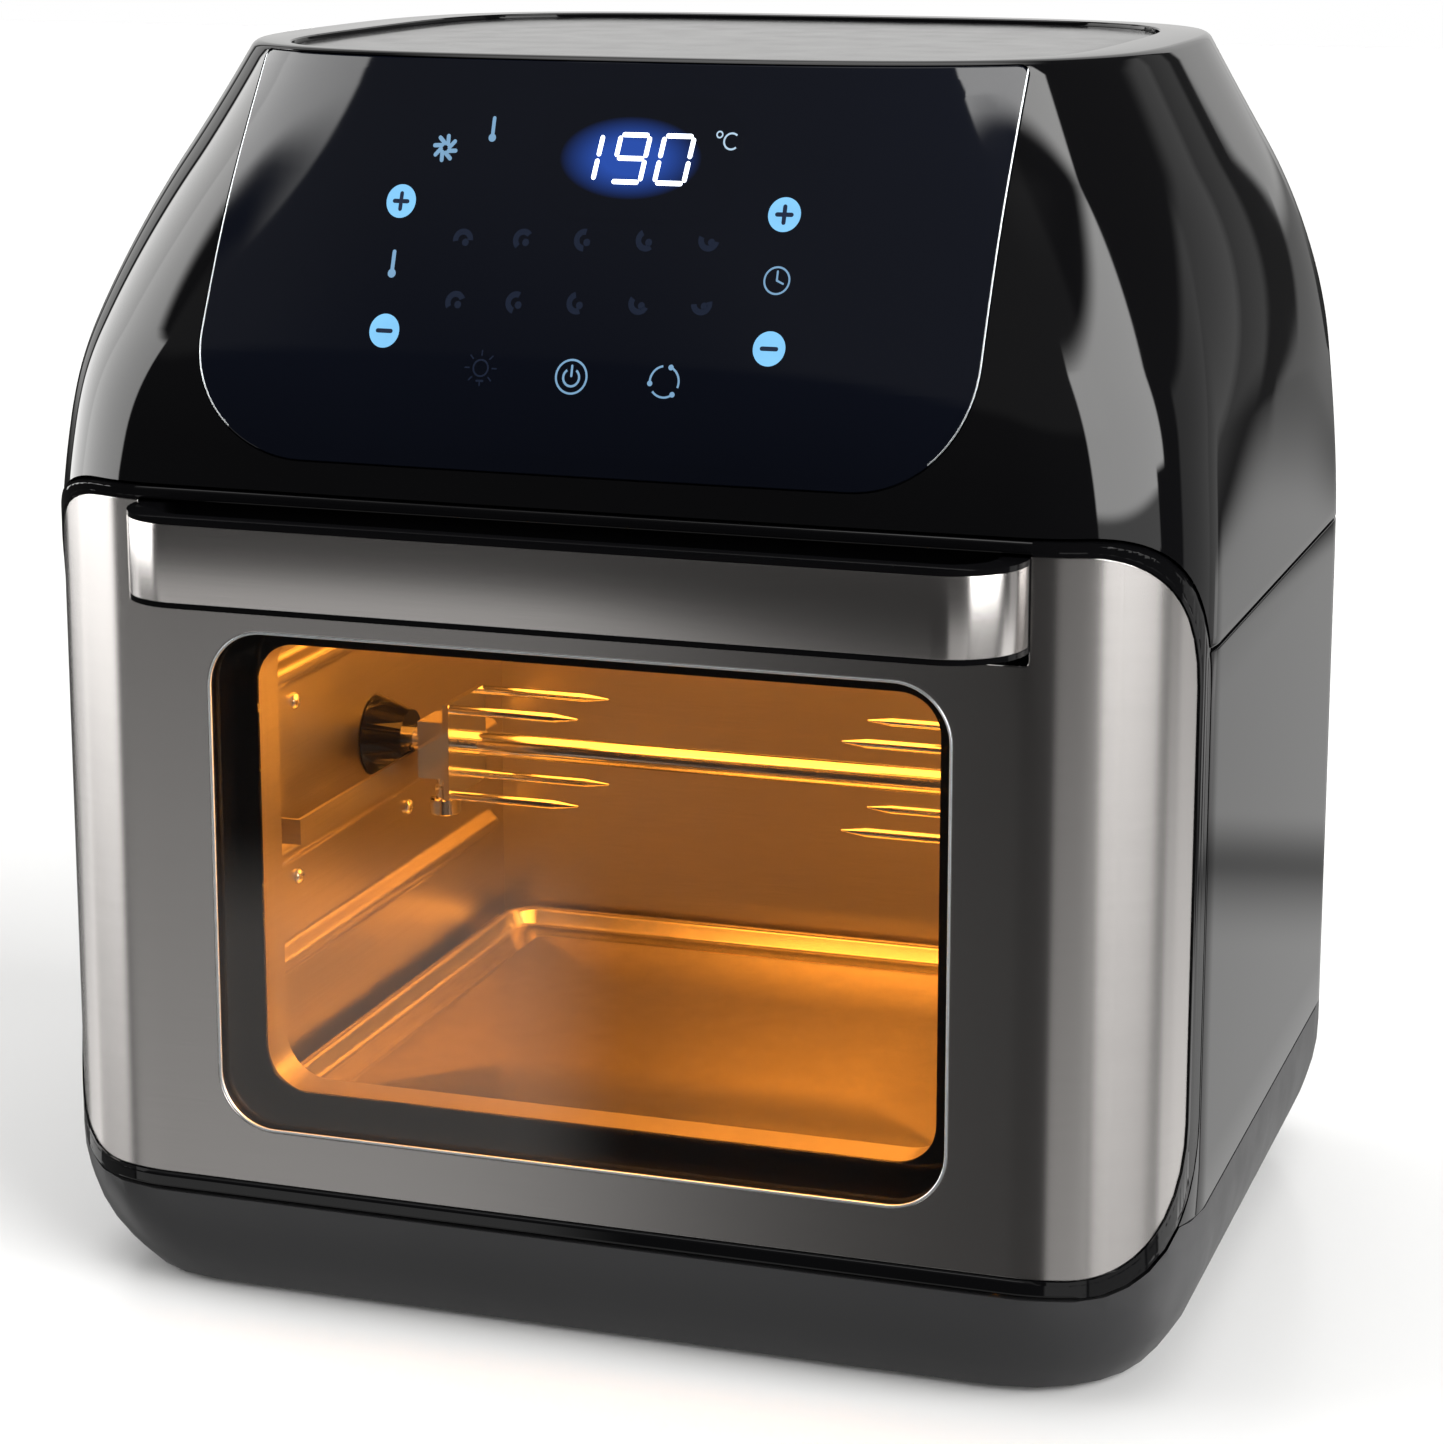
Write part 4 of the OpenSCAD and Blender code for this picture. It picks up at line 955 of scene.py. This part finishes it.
def handle_path(depth, steps=16):
    """The handle's front seen from above, drawn in by depth: (x, y) from left to right."""
    r = HANDLE_OUT - 1.0
    straight = NOTCH_HALF - r
    cy = FRONT_Y - HANDLE_OUT + r
    left = [(x, y) for x, y in arc(-straight, cy, r - depth, 180, 270, steps)]
    right = [(x, y) for x, y in arc(straight, cy, r - depth, 270, 360, steps)]
    tail = FRONT_Y - 1.0
    return [(left[0][0], tail), *left, *right, (right[-1][0], tail)]


def make_handle_cover():
    """The steel strip that wraps round the front of the handle."""
    z0, z1 = HANDLE_Z
    e = 0.35
    section = [(0.8, z0), (e, z0), (e * 0.3, z0 + e * 0.3), (0, z0 + e)]
    section += [(0, z1 - e), (e * 0.3, z1 - e * 0.3), (e, z1), (0.8, z1)]
    paths = [handle_path(d) for d, _ in section]
    rings = [[(p[k][0], p[k][1], z) for p, (_, z) in zip(paths, section)] for k in range(len(paths[0]))]
    obj = shade(loft("handle_strip", rings), 25)
    place(obj, "door", "brushed_stainless", STEEL, "handle_cover")


# ---- Oven cavity ------------------------------------------------------------

RIBS = (88.0, 122.5, 178.0)
WALL_SCREWS = ((-58.0, 167.0), (-58.0, 111.5), (27.0, 111.5), (65.0, 167.0))


def rib_depth(y, z):
    """How far the wall's pressed ribs stand in: long beads with round ends."""
    most = 0.0
    for rib in RIBS:
        y0, y1 = CAVITY_Y[0] + 11, CAVITY_Y[1] - 15
        off = math.hypot(y - min(max(y, y0), y1), z - rib)
        most = max(most, 4.0 * ease((5.2 - off) / 4.2))
    return most


def make_wall(side, node, hole_y, hole_z, hole_r):
    """A cavity wall of pressed sheet with rounded beads and one round hole."""
    name = node + "_sheet"
    near = np.arange(CAVITY_Y[0], CAVITY_Y[0] + 14, 1.2)
    far_end = np.arange(93, CAVITY_Y[1], 1.2)
    ys = np.unique(np.concatenate([near, np.arange(-78, 92, 10), far_end, [CAVITY_Y[1]]]))
    zs = [FLOOR_Z - 1]
    for rib in RIBS:
        zs += list(np.arange(rib - 6, rib + 6.1, 0.8))
    zs = np.unique(np.concatenate([zs, np.arange(FLOOR_Z, 234, 12), [CEILING_Z + 1]]))
    points = []
    for back in (0, 1):
        for y in ys:
            for z in zs:
                inward = rib_depth(y, z)
                points.append((side * (CAVITY_HALF + back - inward), y, z))
    rows, cols = len(ys), len(zs)
    faces = []
    for back in (0, 1):
        base = back * rows * cols
        for i in range(rows - 1):
            for j in range(cols - 1):
                a = base + i * cols + j
                faces.append((a, a + cols, a + cols + 1, a + 1))
    rim = [i * cols for i in range(rows)]
    rim += [(rows - 1) * cols + j for j in range(1, cols)]
    rim += [i * cols + cols - 1 for i in range(rows - 2, -1, -1)]
    rim += list(range(cols - 2, 0, -1))
    far = rows * cols
    for k, a in enumerate(rim):
        b = rim[(k + 1) % len(rim)]
        faces.append((a, b, b + far, a + far))
    obj = from_points(name, points, faces)
    hole = turned("cutter", [(hole_r, -12), (hole_r, 12)], (side * CAVITY_HALF, hole_y, hole_z), "X")
    cut(obj, hole)
    shade(obj, 40)
    place(obj, "cabinet", "oven_steel", OVEN, node)


# The tray's section, as (inset, height over the cavity's floor): below, the rolled rim, and the pan.
TRAY_UNDER = ((60, 0.1), (6.5, 0.1), (4.5, 0.5), (3.3, 1.8), (2.2, 5.6))
TRAY_RIM = ((0.8, 5.9), (0.1, 6.2), (0, 6.6), (0.4, 6.95), (1.2, 7.0), (2.4, 6.7), (3.1, 5.9))
TRAY_TOP = ((4.2, 2.2), (5.2, 1.3), (6.8, 0.95), (14, 0.95), (15, 1.35), (17, 1.35), (18, 0.95), (60, 0.95))


def make_tray():
    """The drip tray: a shallow pressed pan with a rolled rim."""
    low = (-CAVITY_HALF + 5, CAVITY_Y[0] + 6)
    high = (CAVITY_HALF - 5, CAVITY_Y[1] - 4)

    def ring(inset, z):
        corner = 12 - min(inset, 9)
        sides = low[0] + inset, low[1] + inset, high[0] - inset, high[1] - inset
        return [(x, y, z) for x, y in rounded(*sides, corner, 10)]

    rings = [ring(inset, FLOOR_Z + height) for inset, height in TRAY_UNDER + TRAY_RIM + TRAY_TOP]
    obj = shade(loft("tray_pan", rings), 50)
    place(obj, "drip_tray", "tray_metal", TRAY, "drip_tray")


# A screw's shank and domed head with a round recess, as (radius, depth into the wall).
SCREW_HEAD = (
    (0, 3),
    (1.45, 3),
    (1.45, -0.02),
    (2.6, -0.02),
    (2.65, -0.5),
    (2.3, -1.1),
    (1.6, -1.6),
    (0.8, -1.8),
    (0.7, -1.1),
    (0, -1.1),
)


def make_wall_screws():
    """Dome-head screws in the cavity's side walls."""
    parts = []
    for side in (-1, 1):
        for y, z in WALL_SCREWS:
            profile = [(r, h * side) for r, h in SCREW_HEAD]
            parts.append(turned("part", profile, (side * CAVITY_HALF, y, z), "X", 28))
    obj = shade(join("cavity_screw_heads", parts), 40)
    place(obj, "cabinet", "zinc_steel", CHROME, "cavity_screws")


# ---- Stage: floor, light and camera ----------------------------------------


def make_floor():
    """A pale floor that only the camera and the shadows see."""
    far = 6000
    corners = [(-far, -far, 0), (far, -far, 0), (far, far, 0), (-far, far, 0)]
    obj = from_points("floor", corners, [(0, 1, 2, 3)])
    made = Maker("floor_paper", (0.94, 0.94, 0.94), 0.22, IOR=1.4)
    made.rough(made.noise(2, detail=2), 0.2, 0.26)
    obj.data.materials.append(made.mat)
    obj.visible_glossy = False
    obj.visible_diffuse = False
    obj.visible_transmission = False


class Sky:
    """Soft boxes and a pale back wall, painted on the world by direction."""

    def __init__(self):
        self.world = bpy.data.worlds.new("studio")
        bpy.context.scene.world = self.world
        self.world.use_nodes = True
        self.tree = self.world.node_tree
        self.tree.nodes.clear()
        coords = self.tree.nodes.new("ShaderNodeTexCoord")
        split = self.tree.nodes.new("ShaderNodeSeparateXYZ")
        self.tree.links.new(coords.outputs["Generated"], split.inputs[0])
        front = self.math("MULTIPLY", split.outputs[1], -1.0)
        self.azimuth = self.math("ARCTAN2", split.outputs[0], front)
        self.height = self.math("ARCSINE", split.outputs[2], 0.0)
        self.total = None

    def math(self, operation, a, b):
        made = self.tree.nodes.new("ShaderNodeMath")
        made.operation = operation
        for socket, value in zip(made.inputs, (a, b)):
            if isinstance(value, (int, float)):
                socket.default_value = value
            else:
                self.tree.links.new(value, socket)
        return made.outputs[0]

    def step(self, value, at, feather, falling=False):
        made = self.tree.nodes.new("ShaderNodeMapRange")
        made.interpolation_type = "SMOOTHSTEP"
        made.inputs["From Min"].default_value = math.radians(at - feather)
        made.inputs["From Max"].default_value = math.radians(at + feather)
        made.inputs["To Min"].default_value = 1.0 if falling else 0.0
        made.inputs["To Max"].default_value = 0.0 if falling else 1.0
        self.tree.links.new(value, made.inputs["Value"])
        return made.outputs["Result"]

    def box(self, azimuths, heights, strength, feather=2.0, soft_ends=None):
        """Adds a patch of light between two azimuths and two heights, in degrees."""
        low_f, high_f = soft_ends or (feather, feather)
        a = self.step(self.azimuth, azimuths[0], feather)
        b = self.step(self.azimuth, azimuths[1], feather, True)
        c = self.step(self.height, heights[0], low_f)
        d = self.step(self.height, heights[1], high_f, True)
        patch = self.math("MULTIPLY", self.math("MULTIPLY", a, b), self.math("MULTIPLY", c, d))
        patch = self.math("MULTIPLY", patch, strength)
        self.total = patch if self.total is None else self.math("ADD", self.total, patch)

    def finish(self, seen):
        """Light as painted, and a plain backdrop where the camera looks straight at it."""
        light = self.tree.nodes.new("ShaderNodeBackground")
        light.inputs["Color"].default_value = (1.0, 0.995, 0.985, 1)
        self.tree.links.new(self.total, light.inputs["Strength"])
        wall = self.tree.nodes.new("ShaderNodeBackground")
        wall.inputs["Color"].default_value = (1, 1, 1, 1)
        wall.inputs["Strength"].default_value = seen
        path = self.tree.nodes.new("ShaderNodeLightPath")
        mix = self.tree.nodes.new("ShaderNodeMixShader")
        out = self.tree.nodes.new("ShaderNodeOutputWorld")
        self.tree.links.new(path.outputs["Is Camera Ray"], mix.inputs[0])
        self.tree.links.new(light.outputs[0], mix.inputs[1])
        self.tree.links.new(wall.outputs[0], mix.inputs[2])
        self.tree.links.new(mix.outputs[0], out.inputs[0])


# Soft boxes, as azimuths, heights, strength, side feather, (lower feather, upper feather).
SOFT_BOXES = (
    ((-60, 60), (30, 60), 0.12, 4.0, (3, 6)),
    ((43, 88), (6, 51), 6.9, 0.8, (1.0, 1.5)),
    ((43, 88), (-7, 6), 1.3, 0.8, (1.5, 1.0)),
    ((88, 94.5), (10, 51), 6.9, 0.8, (1.5, 1.5)),
    ((-98, -57), (-8, 33), 4.8, 0.9, (2, 1.2)),
    ((-121, -98), (-8, 33), 3.9, 0.9, (2, 1.2)),
    ((108, 140), (-14, 24), 0.42, 1.5, (2, 3)),
    ((140, 156), (-14, 24), 0.30, 1.5, (2, 3)),
    ((156, 166), (-7, 24), 0.12, 1.0, (2, 3)),
    ((150, 181), (-15.7, -9.5), 0.5, 1.0, (0.5, 1.2)),
    ((169.5, 181), (1, 60), 0.70, 0.6, (1.5, 12)),
    ((169.5, 181), (-9, 1), 0.20, 0.6, (1.0, 1.5)),
    ((-181, -140), (-2, 60), 0.72, 3.0, (4, 12)),
    ((-136, -124), (-4, 60), 0.7, 1.0, (4, 12)),
    ((-181, 181), (62, 95), 2.1, 3.0, (8, 8)),
    ((-181, 181), (-95, -44), 0.27, 3.0, (1, 5)),
)

# How bright the table round the object looks in its steel: from azimuth, to azimuth, strength.
FLOOR_LIGHT = (
    (-181, -160, 0.4),
    (-158, -140, 0.3),
    (-138, -123, 0.1),
    (-121, -98, 0.95),
    (-97, -57, 0.1),
    (-55, -21, 0.62),
    (12, 42, 0.55),
    (44, 88, 0.32),
    (90, 98, 0.2),
    (100, 150, 1.25),
    (152, 181, 0.55),
)


# The glow under the ceiling: name, place, size and power.
GLOWS = (
    ("ceiling_glow", (-0.02, -0.01, 0.2105), (0.15, 0.12), 0.45),
    ("front_glow", (0.0, -0.07, 0.215), (0.16, 0.03), 0.14),
)
HEATER_COLOUR = (1.0, 0.38, 0.045)
LAMP_COLOUR = (1.0, 0.46, 0.07)


def make_light():
    """The studio's soft boxes, the table's light, and the warm light inside the oven."""
    sky = Sky()
    sky.box((-181, 181), (-95, 95), 0.03)
    for soft_box in SOFT_BOXES:
        sky.box(*soft_box)
    for start, end, strength in FLOOR_LIGHT:
        sky.box((start, end), (-44, -16.4), strength, 1.0, (5, 1.0))
    sky.finish(1.0)
    make_lamp()
    for name, where, size, energy in GLOWS:
        data = bpy.data.lights.new(name, "AREA")
        data.shape = "RECTANGLE"
        data.size, data.size_y = size
        data.energy = energy
        data.color = HEATER_COLOUR
        to_object(name, data).location = where


def make_lamp():
    """The warm light of the oven's lamp."""
    data = bpy.data.lights.new("oven_glow", "POINT")
    data.energy = 1.25
    data.shadow_soft_size = 0.012
    data.color = LAMP_COLOUR
    to_object("oven_glow", data).location = (0.098, 0.015, 0.205)


# The camera's place in metres, its lens in millimetres, and where it looks, in radians.
CAMERA_PLACE = (0.35185, -1.05056, 0.43163)
CAMERA_LENS = 91.334
CAMERA_SHIFT = -0.097
CAMERA_YAW = -0.32333
CAMERA_PITCH = -0.2061


def make_camera():
    """The camera, in front, a little to the right and above."""
    data = bpy.data.cameras.new("camera")
    data.sensor_width = 36.0
    data.lens = CAMERA_LENS
    data.shift_y = CAMERA_SHIFT
    data.clip_start = 0.05
    data.clip_end = 30.0
    obj = to_object("camera", data)
    level = math.cos(CAMERA_PITCH)
    ahead = math.sin(CAMERA_YAW) * level, math.cos(CAMERA_YAW) * level, math.sin(CAMERA_PITCH)
    forward = Vector(ahead)
    obj.location = CAMERA_PLACE
    obj.rotation_euler = forward.to_track_quat("-Z", "Y").to_euler()
    bpy.context.scene.camera = obj


dress_nodes()
make_hood()
make_side_shell(-1, "side_shell_left")
make_side_shell(1, "side_shell_right")
make_top_plate()
make_panel()
make_marks()
make_skin()
make_door_border()
make_window_edge_highlight()
make_handle_cover()
make_wall(-1, "cavity_left_wall", SPIT_Y, SPIT_Z, 5.5)
make_wall(1, "cavity_right_wall", 70.0, 206.0, 17.0)
make_tray()
make_wall_screws()
make_floor()
make_light()
make_camera()
bpy.context.scene.view_settings.view_transform = "Standard"
